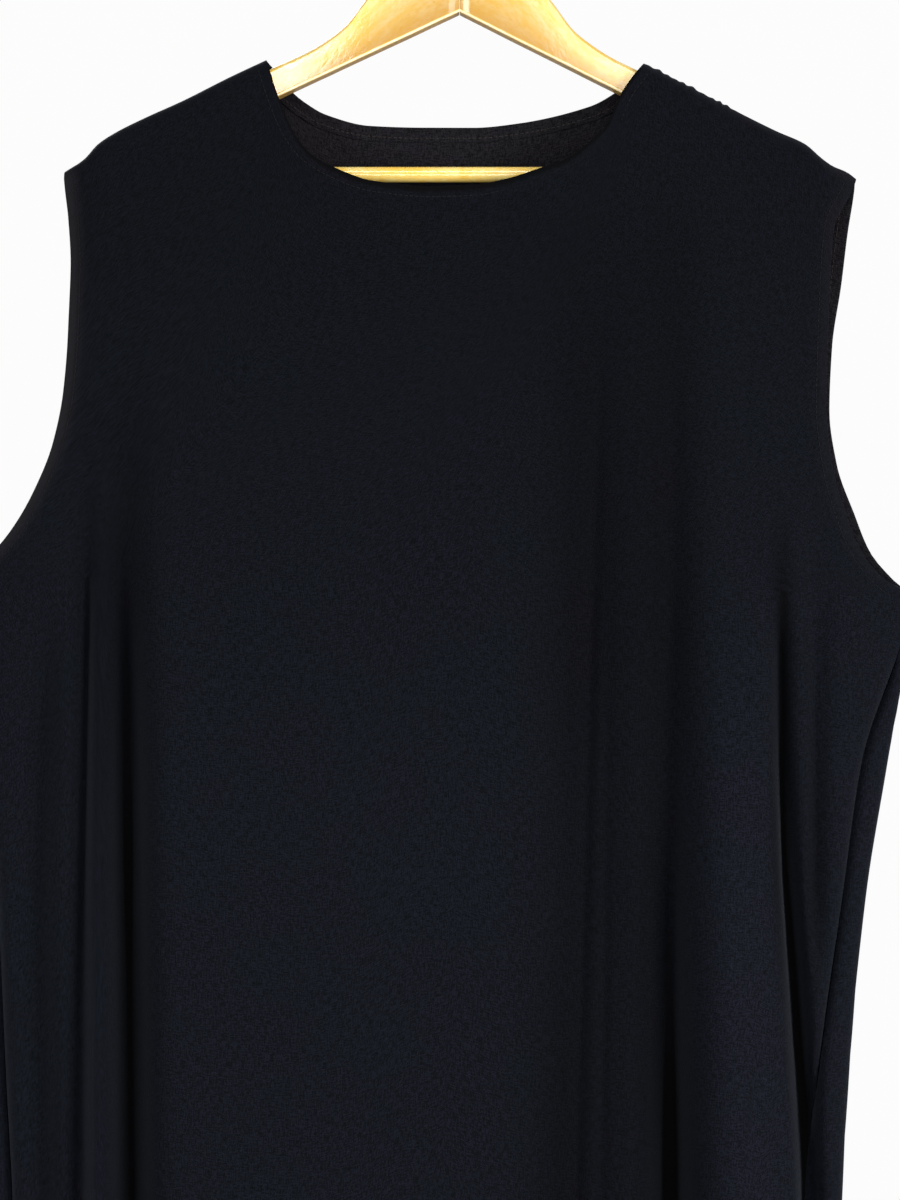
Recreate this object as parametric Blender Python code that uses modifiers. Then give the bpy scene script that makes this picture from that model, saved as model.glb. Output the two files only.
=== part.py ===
"""A sleeveless dress hanging on a wooden hanger, built from its cut pieces. Metres, +Z up.

The origin is the inside top of the hanger's hook. The front of the dress faces -Y, and "left" is -X, the left
as the dress is looked at. Every cloth piece is worked out from the same two faces, the outer front and the
outer back, which are depths over the plane of the hanger:

    depth = the roll over the hanger's arm, easing into the hanging section, less the folds

A panel is a grid of points on its face, and Solidify gives it the cloth's thickness, inwards.
"""
import math
from collections import namedtuple

import bpy
import numpy as np

# ---- Driving sizes ----
CLOTH = 0.0015  # wall of the dress
FACING = 0.0010  # wall of the facings, which are one layer of the same cloth
GAP = 0.0003  # between pieces at a seam
CORNER_GAP = 0.0012  # between front and back at the underarm corners, where their walls turn in
FACING_GAP = 0.0008  # between a facing and the panel it lies in, whose faces are flats between curved rows
FACING_WIDTH = 0.010
UNDERARM = 0.4308  # underarm below the origin, in the middle
HEM = 1.275  # hem below the origin
MIDWAY = 0.600  # depth below the origin at which the folds' lines are known, between their start and IN_VIEW
IN_VIEW = 0.770  # depth down to which they are known, and past which they run on plainly

FRONT, BACK = -1.0, 1.0
SIDE_FLATNESS = 4.0  # exponent of the hanging section: 2 is an ellipse, more has tighter side edges
SIDE_CALM = 0.010  # folds die out over this distance from the side edges
ARM_ROLL = 0.010  # depth of the cloth's roll over a hanger arm
TIP_ROLL = 0.0055  # the same past the arm's end, where front and back come together
TIP_FROM, TIP_FADE = 0.198, 0.022  # distance out at which the roll starts to change to that, and over which
FALL = 0.095  # distance below the shoulder line over which the cloth leaves the hanger

COLUMNS = 50  # faces across a panel
EDGE_ROWS = (0.0, 0.0003, 0.0035, 0.010, 0.022)  # rows beside neck and shoulders, by distance from the edge
UPPER_ROWS = 10  # rows from there to the underarm
LOWER_ROWS = 12  # rows from the underarm to the hem
BOW_FADE = 3  # power by which an armhole's bow dies away towards the middle of a panel
SAMPLES = 4001  # fine steps in which lengths are added up across a panel
EDGE_SAMPLES = 801  # the same along a top edge

FACING_FACES = 3  # across a facing
NECK_FACES = 30  # along a neck facing
NECK_TRIM = 0.007  # a neck facing ends this far short of the neck points
SHOULDER_CLEAR = 0.002  # and stays this far under the shoulder line
ARMHOLE_FACES = 19  # along an armhole facing
ARMHOLE_SPAN = (0.03, 0.88)  # share of the way down at which it starts and ends


def table(names, *rows):
    """Named columns. The first column rises, and the others are read by it."""
    return dict(zip(names.split(), np.array(rows, dtype=float).T))


# Shoulder line: its height at a distance out from the middle. It runs on to the middle as the line that the
# neck edges are set below.
SHOULDER = table(
    "out     left     right",
    (0.0000, -0.0850, -0.0850),
    (0.1035, -0.1330, -0.1372),
    (0.1290, -0.1449, -0.1502),
    (0.1550, -0.1580, -0.1638),
    (0.1780, -0.1684, -0.1752),
    (0.1940, -0.1765, -0.1824),
    (0.2035, -0.1829, -0.1905),
    (0.2100, -0.1902, -0.1950),
    (0.2160, -0.1946, -0.1974),
    (0.2235, -0.1983, -0.2017),
)
TIP_LEFT, TIP_RIGHT = -0.2224, 0.2235  # ends of the shoulder seams
NECK_LEFT, NECK_RIGHT = -0.1085, 0.1035  # neck points, where neckline and shoulder line meet

FRONT_NECK = table(
    "across   height",
    (-0.1085, -0.1353),
    (-0.1021, -0.1552),
    (-0.0935, -0.1760),
    (-0.0839, -0.1890),
    (-0.0676, -0.1990),
    (-0.0487, -0.2056),
    (-0.0170, -0.2088),
    (0.0080, -0.2080),
    (0.0252, -0.2048),
    (0.0447, -0.1985),
    (0.0609, -0.1920),
    (0.0738, -0.1818),
    (0.0823, -0.1731),
    (0.0908, -0.1547),
    (0.1035, -0.1372),
)
BACK_NECK = table(
    "across   height",
    (-0.1085, -0.1353),
    (-0.0952, -0.1509),
    (-0.0879, -0.1570),
    (-0.0755, -0.1641),
    (-0.0507, -0.1702),
    (-0.0200, -0.1712),
    (0.0080, -0.1712),
    (0.0332, -0.1689),
    (0.0734, -0.1596),
    (0.0885, -0.1515),
    (0.1035, -0.1372),
)

# Armhole edges: across, at a share of the way down from the shoulder tip to the underarm.
UNDERARM_LEFT, UNDERARM_RIGHT = -0.4241, -0.4376
ARMHOLE = table(
    "down  front_left back_left front_right back_right",
    (0.00, -0.2224, -0.2224, 0.2235, 0.2235),
    (0.05, -0.2213, -0.2190, 0.2180, 0.2220),
    (0.12, -0.2194, -0.2165, 0.2099, 0.2195),
    (0.25, -0.2175, -0.2145, 0.2069, 0.2160),
    (0.40, -0.2183, -0.2153, 0.2053, 0.2110),
    (0.55, -0.2210, -0.2180, 0.2045, 0.2096),
    (0.68, -0.2270, -0.2245, 0.2077, 0.2138),
    (0.80, -0.2382, -0.2362, 0.2152, 0.2238),
    (0.89, -0.2503, -0.2490, 0.2243, 0.2325),
    (0.96, -0.2640, -0.2635, 0.2388, 0.2460),
    (1.00, -0.2740, -0.2740, 0.2561, 0.2561),
)

# Hanging section at a depth below the origin: the side seams, the side edges of the outline, which the back
# reaches round, and how far the front and the back stand off the plane of the hanger.
SECTIONS = table(
    "down   seam_left seam_right edge_left edge_right front  back",
    (0.130, -0.2740, 0.2561, -0.2740, 0.2561, 0.014, 0.0110),
    (0.210, -0.2740, 0.2561, -0.2740, 0.2561, 0.020, 0.0140),
    (0.340, -0.2740, 0.2561, -0.2740, 0.2561, 0.021, 0.0160),
    (UNDERARM, -0.2740, 0.2561, -0.2740, 0.2561, 0.023, 0.0190),
    (0.467, -0.2707, 0.2466, -0.2750, 0.2522, 0.024, 0.0200),
    (0.529, -0.2650, 0.2265, -0.2730, 0.2410, 0.026, 0.0220),
    (0.607, -0.2584, 0.2142, -0.2700, 0.2284, 0.028, 0.0240),
    (0.711, -0.2539, 0.1997, -0.2665, 0.2188, 0.031, 0.0265),
    (0.774, -0.2502, 0.1943, -0.2650, 0.2152, 0.033, 0.0280),
    (0.888, -0.2460, 0.1900, -0.2635, 0.2129, 0.036, 0.0310),
    (1.057, -0.2426, 0.1860, -0.2625, 0.2107, 0.040, 0.0350),
    (1.275, -0.2404, 0.1840, -0.2620, 0.2107, 0.044, 0.0390),
)

# Folds: each runs down a panel from `start` and is full at `full`. Its line is across at start, at MIDWAY, at
# IN_VIEW and at the hem. Depth is inwards, a negative one stands proud. Left and right are its two widths.
Fold = namedtuple("Fold", "name start full at_start midway in_view at_hem depth left right")
FRONT_FOLDS = (
    Fold("left edge swell", 0.420, 0.520, -0.2300, -0.2345, -0.2310, -0.2330, 0.006, 0.009, 0.010),
    Fold("left inner valley", 0.300, 0.480, -0.2064, -0.2100, -0.2112, -0.2100, 0.008, 0.0065, 0.0075),
    Fold("left ridge", 0.400, 0.640, -0.1960, -0.1965, -0.1965, -0.1930, -0.004, 0.008, 0.007),
    Fold("left deep valley", 0.250, 0.580, -0.1880, -0.1860, -0.1825, -0.1760, 0.021, 0.0090, 0.0115),
    Fold("middle swell", 0.240, 0.560, 0.0780, 0.0730, 0.0700, 0.0690, 0.009, 0.022, 0.020),
    Fold("right valley", 0.200, 0.740, 0.1175, 0.1155, 0.1170, 0.1140, 0.017, 0.015, 0.014),
    Fold("right ridge", 0.370, 0.640, 0.1500, 0.1500, 0.1540, 0.1500, -0.006, 0.017, 0.030),
    Fold("right lapping fold", 0.360, 0.700, 0.1770, 0.1800, 0.1930, 0.1840, 0.015, 0.0050, 0.0062),
)
BACK_FOLDS = (
    Fold("left inner valley", 0.380, 0.620, -0.2120, -0.2140, -0.2160, -0.2140, 0.010, 0.008, 0.009),
    Fold("left deep valley", 0.300, 0.660, -0.1660, -0.1690, -0.1700, -0.1640, 0.018, 0.011, 0.014),
    Fold("left ridge", 0.400, 0.700, -0.1200, -0.1240, -0.1260, -0.1220, -0.006, 0.020, 0.018),
    Fold("middle swell", 0.280, 0.620, -0.0460, -0.0500, -0.0520, -0.0550, 0.007, 0.026, 0.030),
    Fold("right swell", 0.300, 0.640, 0.0660, 0.0620, 0.0600, 0.0580, 0.009, 0.018, 0.020),
    Fold("right deep valley", 0.280, 0.660, 0.1380, 0.1360, 0.1340, 0.1280, 0.018, 0.013, 0.011),
    Fold("right ridge", 0.400, 0.700, 0.1700, 0.1660, 0.1630, 0.1580, -0.006, 0.012, 0.012),
    Fold("right inner valley", 0.400, 0.600, 0.1920, 0.1880, 0.1860, 0.1820, 0.010, 0.007, 0.008),
)
FOLD_SPAN = 0.016  # columns gather within this distance of a fold's line
FOLD_SHARE = 1.2  # by this share more than elsewhere
FOLD_GATHER = 0.25  # share of the way from underarm to hem by which they have gathered
SIDE_SHARE = 0.060  # length that the turn to the side edges counts for when columns are shared out
SEAM_STEP = 0.003  # first column beside a side seam
UPPER_GATHER, LOWER_GATHER = 1.25, 1.6  # rows gather towards the underarm by these powers
NECK_ROLL_SHARE = 3.0  # columns gather by this share where a neck edge rolls over the hanger arm

# Hanger: top and bottom edges of an arm at a distance out from the middle, before its lean.
ARM = table(
    "out     top      bottom",
    (0.0000, -0.0685, -0.1090),
    (0.0120, -0.0690, -0.1148),
    (0.0220, -0.0715, -0.1197),
    (0.0300, -0.0775, -0.1236),
    (0.0400, -0.0880, -0.1284),
    (0.0520, -0.1027, -0.1342),
    (0.0640, -0.1183, -0.1400),
    (0.0740, -0.1262, -0.1449),
    (0.0840, -0.1325, -0.1497),
    (0.1020, -0.1411, -0.1585),
    (0.1500, -0.1629, -0.1818),
    (0.1780, -0.1757, -0.1962),
    (0.1840, -0.1786, -0.2040),
    (0.1900, -0.1815, -0.2092),
    (0.2000, -0.1875, -0.2106),
    (0.2035, -0.1905, -0.2098),
    (0.2060, -0.1935, -0.2074),
    (0.2080, -0.1985, -0.2024),
)
ARM_STATIONS = 26
ARM_GATHER = 0.9  # power by which the stations spread, beyond the sine that gathers them at the end
ARM_SIDES = 16
ARM_HALF = 0.006  # half the wood's thickness
ARM_ROUNDING = 3.0  # exponent of its cross-section: 2 is an ellipse
ARM_THINNED = 0.45  # share of the thickness that is rounded off at the end
THIN_FROM, THIN_FADE = 0.200, 0.008  # distance out at which that starts, and over which
LEAN = 0.0175  # its arms hang a degree low at the right, and the bar hangs level

BAR_RADIUS = 0.0044
BAR_HEIGHT = -0.1996
BAR_LEFT, BAR_RIGHT = -0.1770, 0.1690  # its shoulders, each short of its own arm's edge
TENON_RADIUS = 0.0032
TENON_END = 0.1945
SOCKET_RADIUS = TENON_RADIUS + GAP
SOCKET_END = TENON_END + GAP

WIRE = 0.0020  # radius of the hook's wire
BOW = 0.0190  # inner radius of its bow
SHANK_FOOT = -0.0900  # bottom of the shank, down in the wood
SHANK_TOP = -0.0540  # where it starts to bend out
SHANK_HOLE = WIRE + GAP
BOW_FROM, BOW_TO = math.radians(-50), math.radians(205)
BOW_POINTS = 22
BEND_PULL = 0.0085  # how far the bend from shank to bow keeps its two headings
BEND_POINTS = 8


# ---- The faces of the dress ----
def read(rows, name, at):
    """Smooth curve through a table's column, with no overshoot between its rows, and level past both ends."""
    keys, values = next(iter(rows.values())), rows[name]
    gap = np.diff(keys)
    slope = np.diff(values) / gap
    turn = np.zeros_like(values)
    turn[0], turn[-1] = slope[0], slope[-1]
    product = slope[:-1] * slope[1:]
    same = product > 0
    turn[1:-1][same] = 2 * product[same] / (slope[:-1] + slope[1:])[same]
    at = np.clip(at, keys[0], keys[-1])
    cell = np.clip(np.searchsorted(keys, at, side="right") - 1, 0, len(gap) - 1)
    part = (at - keys[cell]) / gap[cell]
    start = (1 + 2 * part) * (1 - part) ** 2 * values[cell] + part * (1 - part) ** 2 * gap[cell] * turn[cell]
    end = part**2 * (3 - 2 * part) * values[cell + 1] - part**2 * (1 - part) * gap[cell] * turn[cell + 1]
    return start + end


def ease(share):
    """0 to 1, level at both ends."""
    share = np.clip(share, 0, 1)
    return share * share * (3 - 2 * share)


def ridge(x):
    """Height of the shoulder line."""
    return np.where(x < 0, read(SHOULDER, "left", abs(x)), read(SHOULDER, "right", abs(x)))


def section(z):
    """Middle and half width of the hanging section."""
    left, right = read(SECTIONS, "edge_left", -z), read(SECTIONS, "edge_right", -z)
    return (left + right) / 2, (right - left) / 2


def fold_line(fold, z):
    across = (fold.at_start, fold.midway, fold.in_view, fold.at_hem)
    return np.interp(-z, (fold.start, MIDWAY, IN_VIEW, HEM), across)


def folds(rows, x, z):
    """Sum of the folds: each a bell across its line, with its own width to each side."""
    total = np.zeros(np.broadcast(x, z).shape)
    for fold in rows:
        away = x - fold_line(fold, z)
        bell = np.exp(-((away / np.where(away < 0, fold.left, fold.right)) ** 2))
        total += fold.depth * ease((-z - fold.start) / (fold.full - fold.start)) * bell
    return total


def face(x, z, side):
    """Y of the outer face of the front or the back at a place in the plane of the hanger."""
    name, rows = ("front", FRONT_FOLDS) if side == FRONT else ("back", BACK_FOLDS)
    below = ridge(x) - z
    roll = ARM_ROLL + (TIP_ROLL - ARM_ROLL) * ease((abs(x) - TIP_FROM) / TIP_FADE)
    over = np.sqrt(1 - (1 - np.clip(below / roll, 0, 1)) ** 2)
    middle, half = section(z)
    out = np.clip(abs(x - middle) / half, 0, 1)
    hanging = read(SECTIONS, name, -z) * np.sqrt(1 - out**SIDE_FLATNESS)
    free = ease(below / FALL)
    calm = ease((1 - out) * half / SIDE_CALM)
    depth = over * ((1 - free) * roll + free * hanging) - folds(rows, x, z) * calm
    return side * np.maximum(depth, GAP / 2)


def seam_turns(z, side):
    """How far round the section a panel's two edges lie, in quarter turns: 1 is the side edge."""
    middle, half = section(z)
    left = np.arcsin(np.clip((middle - read(SECTIONS, "seam_left", -z)) / half, 0, 1)) * 2 / math.pi
    right = np.arcsin(np.clip((read(SECTIONS, "seam_right", -z) - middle) / half, 0, 1)) * 2 / math.pi
    return (left, right) if side == FRONT else (2 - left, 2 - right)


def round_section(share, z, side):
    """A point of a panel below the underarm. Share is -1 at its left seam, 1 at its right, 0 in the middle."""
    left, right = seam_turns(z, side)
    turn = share * np.where(share < 0, left, right)
    middle, half = section(z)
    x = middle + half * np.sin(turn * math.pi / 2)
    return x, np.where(abs(turn) > 1, face(x, z, FRONT), face(x, z, side))


# ---- The panels ----
def shares(side, height, fold_share):
    """Columns across a panel: even at a height but for its side edges, and closer together at its folds."""
    fine = np.linspace(-1, 1, SAMPLES)
    x, _ = round_section(fine, np.full_like(fine, height), side)
    weight = abs(np.gradient(x, fine))
    for fold in FRONT_FOLDS if side == FRONT else BACK_FOLDS:
        weight = weight * (1 + fold_share * np.exp(-(((x - fold_line(fold, height)) / FOLD_SPAN) ** 2)))
    total = np.concatenate(([0], np.cumsum((weight + SIDE_SHARE)[1:] * np.diff(fine))))
    inner = np.linspace(SEAM_STEP, total[-1] - SEAM_STEP, COLUMNS - 1)
    return np.interp(np.concatenate(([0], inner, [total[-1]])), total, fine)


def edge_points(low, high, height, count):
    """Points along an edge, evenly by a length in which its steepness counts for half and its roll over the
    hanger arm for more."""
    fine = np.linspace(low, high, EDGE_SAMPLES)
    rolled = 1 + NECK_ROLL_SHARE * np.exp(-(((ridge(fine) - height(fine)) / ARM_ROLL) ** 2))
    length = np.concatenate(([0], np.cumsum(np.hypot(np.diff(fine), np.diff(height(fine)) / 2) * rolled[1:])))
    return np.interp(np.linspace(0, length[-1], count + 1), length, fine)


def top_edge(side, base):
    """Shoulder seam, neckline and shoulder seam, with a column on each neck point."""
    rows = FRONT_NECK if side == FRONT else BACK_NECK

    def neckline(x):
        return read(rows, "height", x)

    spread = (base[-1] - base[0]) / (TIP_RIGHT - TIP_LEFT)
    left, right = (int(abs(base - point * spread).argmin()) for point in (NECK_LEFT, NECK_RIGHT))
    x = np.concatenate((
        edge_points(TIP_LEFT, NECK_LEFT, ridge, left)[:-1],
        edge_points(NECK_LEFT, NECK_RIGHT, neckline, right - left),
        edge_points(NECK_RIGHT, TIP_RIGHT, ridge, COLUMNS - right)[1:],
    ))
    neck = np.arange(COLUMNS + 1)
    neck = (neck > left) & (neck < right)
    return x, np.where(neck, neckline(x), ridge(x)), neck


def upper_grid(side, base_x, base_z):
    """Rows from the top edge to the underarm: straight from edge to base, with the armholes' bow added at the
    sides and dying away towards the middle."""
    top_x, top_z, neck = top_edge(side, base_x)
    length = np.hypot(base_x - top_x, base_z - top_z)
    beside = np.array(EDGE_ROWS)[:, None] / length
    rest = 1 - np.linspace(1, 0, UPPER_ROWS + 1)[1:-1, None] ** UPPER_GATHER
    down = np.concatenate((beside, beside[-1] + (1 - beside[-1]) * rest))
    x = top_x + (base_x - top_x) * down
    z = top_z + (base_z - top_z) * down
    name = "front" if side == FRONT else "back"
    across = (base_x - base_x[0]) / (base_x[-1] - base_x[0])
    for end, hem, fade in (("left", 0, (1 - across) ** BOW_FADE), ("right", -1, across**BOW_FADE)):
        bow = read(ARMHOLE, f"{name}_{end}", down) - (top_x[hem] + (base_x[hem] - top_x[hem]) * down)
        x += bow[:, [hem]] * fade
    return x, face(x, z, side), z, neck


def panel_grid(side):
    """All rows of a panel, as points, and which columns end at the neckline."""
    even, gathered = shares(side, -UNDERARM, 0), shares(side, -IN_VIEW, FOLD_SHARE)
    base_z = UNDERARM_LEFT + (UNDERARM_RIGHT - UNDERARM_LEFT) * (even + 1) / 2
    base_x, _ = round_section(even, np.full_like(even, -UNDERARM), side)
    upper_x, upper_y, upper_z, neck = upper_grid(side, base_x, base_z)
    down = np.linspace(0, 1, LOWER_ROWS + 1)[:, None] ** LOWER_GATHER
    lower_z = base_z + (-HEM - base_z) * down
    lower_x, lower_y = round_section(even + (gathered - even) * ease(down / FOLD_GATHER), lower_z, side)
    points = np.stack((
        np.concatenate((upper_x, lower_x)),
        np.concatenate((upper_y, lower_y)),
        np.concatenate((upper_z, lower_z)),
    ), axis=-1)
    return points, neck


def close_seam(front_edge, front_next, back_edge, back_next):
    """Puts both edges of a side seam on the straight line between the columns beside it, a gap apart."""
    across = front_next - back_next
    across /= np.linalg.norm(across, axis=-1, keepdims=True)
    gap = np.full((len(across), 1), GAP)
    gap[0] = CORNER_GAP
    middle = (front_next + back_next) / 2
    front_edge[:] = middle + across * gap / 2
    back_edge[:] = middle - across * gap / 2


def panel_grids():
    """The front's and the back's points, sewn at the sides and the shoulders."""
    front, neck = panel_grid(FRONT)
    back, back_neck = panel_grid(BACK)
    first = len(front) - LOWER_ROWS - 1
    for edge, beside in ((0, 1), (-1, -2)):
        close_seam(front[first:, edge], front[first:, beside], back[first:, edge], back[first:, beside])
    for points, hidden in ((front, neck), (back, back_neck)):
        points[0, ~hidden, 1] = np.sign(points[0, ~hidden, 1]) * GAP / 2
        points[0, ~hidden, 2] = points[1, ~hidden, 2]
    return front, back


# ---- Objects ----
def finish(name, color, roughness, metallic=0.0):
    """A plain material."""
    material = bpy.data.materials.new(name)
    material.use_nodes = True
    shader = material.node_tree.nodes["Principled BSDF"]
    shader.inputs["Base Color"].default_value = (*color, 1)
    shader.inputs["Roughness"].default_value = roughness
    shader.inputs["Metallic"].default_value = metallic
    return material


def add(name, mesh, material, collection):
    thing = bpy.data.objects.new(name, mesh)
    mesh.materials.append(material)
    collection.objects.link(thing)
    return thing


def grid_mesh(name, points, side):
    """Faces over a grid of points that run down and across, facing out on the front or the back."""
    rows, columns = points.shape[:2]
    index = np.arange(rows * columns).reshape(rows, columns)
    faces = np.stack((index[:-1, :-1], index[1:, :-1], index[1:, 1:], index[:-1, 1:]), axis=-1).reshape(-1, 4)
    if side == BACK:
        faces = faces[:, ::-1]
    mesh = bpy.data.meshes.new(name)
    mesh.from_pydata(points.reshape(-1, 3).tolist(), [], faces.tolist())
    mesh.shade_smooth()
    return mesh


def add_wall(name, points, side, thickness, material, collection):
    """An open surface given a thickness inwards."""
    wall = add(name, grid_mesh(name, points, side), material, collection)
    solidify = wall.modifiers.new("thickness", "SOLIDIFY")
    solidify.thickness = thickness
    solidify.offset = -1
    return wall


def strip_inside(x, z, side):
    """Points of a strip lying inside a panel: on its face, then moved in past the cloth along the normal."""
    points = np.stack((x, face(x, z, side), z), axis=-1)
    normal = np.cross(np.gradient(points, axis=1), np.gradient(points, axis=0))
    normal /= np.linalg.norm(normal, axis=-1, keepdims=True)
    normal *= np.sign(normal[..., 1:2])
    return points - normal * side * (CLOTH + FACING_GAP)


def beside_edge(x, z, inwards):
    """Rows beside an edge out to the facing's width. Inwards is -1 or 1, the side that the cloth is on."""
    run, rise = np.gradient(x), np.gradient(z)
    length = np.hypot(run, rise)
    step = np.linspace(0, FACING_WIDTH, FACING_FACES + 1)[:, None] * inwards
    return x + rise / length * step, z - run / length * step


def add_neck_facing(name, rows, side, material, collection):
    """Strip along a neckline, from shoulder seam to shoulder seam."""
    def neckline(x):
        return read(rows, "height", x)

    across = edge_points(NECK_LEFT + NECK_TRIM, NECK_RIGHT - NECK_TRIM, neckline, NECK_FACES)
    x, z = beside_edge(across, neckline(across), 1)
    z = np.minimum(z, ridge(x) - SHOULDER_CLEAR)
    add_wall(name, strip_inside(x, z, side), side, FACING, material, collection)


def add_armhole_facing(name, end, side, material, collection):
    """Strip along one half of an armhole, from under the shoulder seam to just short of the underarm."""
    down = np.linspace(*ARMHOLE_SPAN, ARMHOLE_FACES + 1)
    tip, underarm = (TIP_LEFT, UNDERARM_LEFT) if end == "left" else (TIP_RIGHT, UNDERARM_RIGHT)
    top = float(ridge(np.array(tip)))
    edge_x = read(ARMHOLE, f"{'front' if side == FRONT else 'back'}_{end}", down)
    x, z = beside_edge(edge_x, top + (underarm - top) * down, -1 if end == "left" else 1)
    points = strip_inside(x, z, side)
    if end == "right":
        points = points[::-1]
    add_wall(name, points.transpose(1, 0, 2), side, FACING, material, collection)


def hanger_section(out, hand):
    """Ring of an arm at a distance out: a rounded rectangle between its top and bottom edges."""
    angle = np.arange(ARM_SIDES) * 2 * math.pi / ARM_SIDES
    power = 2 / ARM_ROUNDING
    y = ARM_HALF * np.sign(np.cos(angle)) * abs(np.cos(angle)) ** power
    level = np.sign(np.sin(angle)) * abs(np.sin(angle)) ** power
    top, bottom = read(ARM, "top", out), read(ARM, "bottom", out)
    x = hand * np.full(ARM_SIDES, max(float(out), GAP / 2))
    thin = 1 - ARM_THINNED * float(ease((out - THIN_FROM) / THIN_FADE))
    return np.stack((x, y * thin, (top + bottom) / 2 + (top - bottom) / 2 * level - LEAN * x), axis=-1)


def add_arm(name, hand, material, collection, cutters):
    """One half of the hanger: rings lofted from the middle joint to the rounded end, less its two holes."""
    end = ARM["out"][-1]
    outs = end * np.sin(np.linspace(0, 1, ARM_STATIONS + 1) * math.pi / 2) ** ARM_GATHER
    points = np.concatenate([hanger_section(out, hand) for out in outs])
    count = len(outs)
    index = np.arange(count * ARM_SIDES).reshape(count, ARM_SIDES)
    beside = np.roll(index, -1, axis=1)
    faces = np.stack((index[:-1], index[1:], beside[1:], beside[:-1]), axis=-1).reshape(-1, 4).tolist()
    faces += [index[0].tolist(), index[-1][::-1].tolist()]
    mesh = bpy.data.meshes.new(name)
    mesh.from_pydata(points.tolist(), [], faces if hand > 0 else [turned[::-1] for turned in faces])
    mesh.shade_smooth()
    arm = add(name, mesh, material, collection)
    for cutter in cutters:
        cut = arm.modifiers.new(cutter.name, "BOOLEAN")
        cut.object = cutter
        cut.operation = "DIFFERENCE"


def add_rod(name, points, radius, material, collection):
    """Straight or bent round wire, with closed ends."""
    curve = bpy.data.curves.new(name, "CURVE")
    curve.dimensions = "3D"
    curve.bevel_depth = radius
    curve.bevel_resolution = 2
    curve.use_fill_caps = True
    spline = curve.splines.new("POLY")
    spline.points.add(len(points) - 1)
    for point, place in zip(spline.points, points):
        point.co = (*place, 1)
    rod = bpy.data.objects.new(name, curve)
    curve.materials.append(material)
    collection.objects.link(rod)
    return rod


def as_mesh(rod):
    """A curve object made a mesh, with its caps welded on."""
    depsgraph = bpy.context.evaluated_depsgraph_get()
    mesh = bpy.data.meshes.new_from_object(rod.evaluated_get(depsgraph))
    name, place, collection = rod.name, rod.matrix_world.copy(), rod.users_collection[0]
    bpy.data.objects.remove(rod)
    solid = bpy.data.objects.new(name, mesh)
    solid.matrix_world = place
    collection.objects.link(solid)
    weld = solid.modifiers.new("weld", "WELD")
    weld.merge_threshold = 0.0001
    return solid


def add_cylinder(name, radius, low, high, material, collection, sides=20):
    """Cylinder between two points that differ along X or along Z."""
    low, high = np.array(low), np.array(high)
    along = high - low
    bpy.ops.mesh.primitive_cylinder_add(
        vertices=sides, radius=radius, depth=float(np.linalg.norm(along)), location=(low + high) / 2)
    thing = bpy.context.object
    thing.name = thing.data.name = name
    thing.rotation_euler = (0, math.atan2(along[0], along[2]), 0)
    thing.data.materials.append(material)
    for home in thing.users_collection:
        home.objects.unlink(thing)
    collection.objects.link(thing)
    return thing


def add_level(name, radius, left, right, material, collection):
    """Cylinder on the bar's axis between two distances across."""
    return add_cylinder(name, radius, (left, 0, BAR_HEIGHT), (right, 0, BAR_HEIGHT), material, collection)


def add_bar(material, collection):
    """Round bar turned down to a tenon at each end."""
    bar = add_level("hanger_bar", BAR_RADIUS, BAR_LEFT, BAR_RIGHT, material, collection)
    tenons = add_level("tenons", TENON_RADIUS, -TENON_END, TENON_END, material, collection)
    tenons.hide_render = True
    tenons.display_type = "WIRE"
    join = bar.modifiers.new("tenons", "BOOLEAN")
    join.object = tenons
    join.operation = "UNION"


def hook_route():
    """Up the shank, out in a curve to the foot of the bow, and round the bow to its open end."""
    centre = np.array((0, -BOW))
    reach = BOW + WIRE

    def on_bow(angle):
        return centre + reach * np.stack((np.cos(angle), np.sin(angle)), axis=-1)

    foot = np.array((0, SHANK_TOP))
    start = on_bow(BOW_FROM)
    heading = np.array((-math.sin(BOW_FROM), math.cos(BOW_FROM)))
    part = np.linspace(0, 1, BEND_POINTS + 1)[:-1, None]
    bend = (
        (1 - part) ** 3 * foot
        + 3 * part * (1 - part) ** 2 * (foot + (0, BEND_PULL))
        + 3 * part**2 * (1 - part) * (start - heading * BEND_PULL)
        + part**3 * start
    )
    bow = on_bow(np.linspace(BOW_FROM, BOW_TO, BOW_POINTS))
    flat = np.concatenate((((0, SHANK_FOOT),), bend, bow))
    return [(x, 0, z) for x, z in flat]


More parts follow.
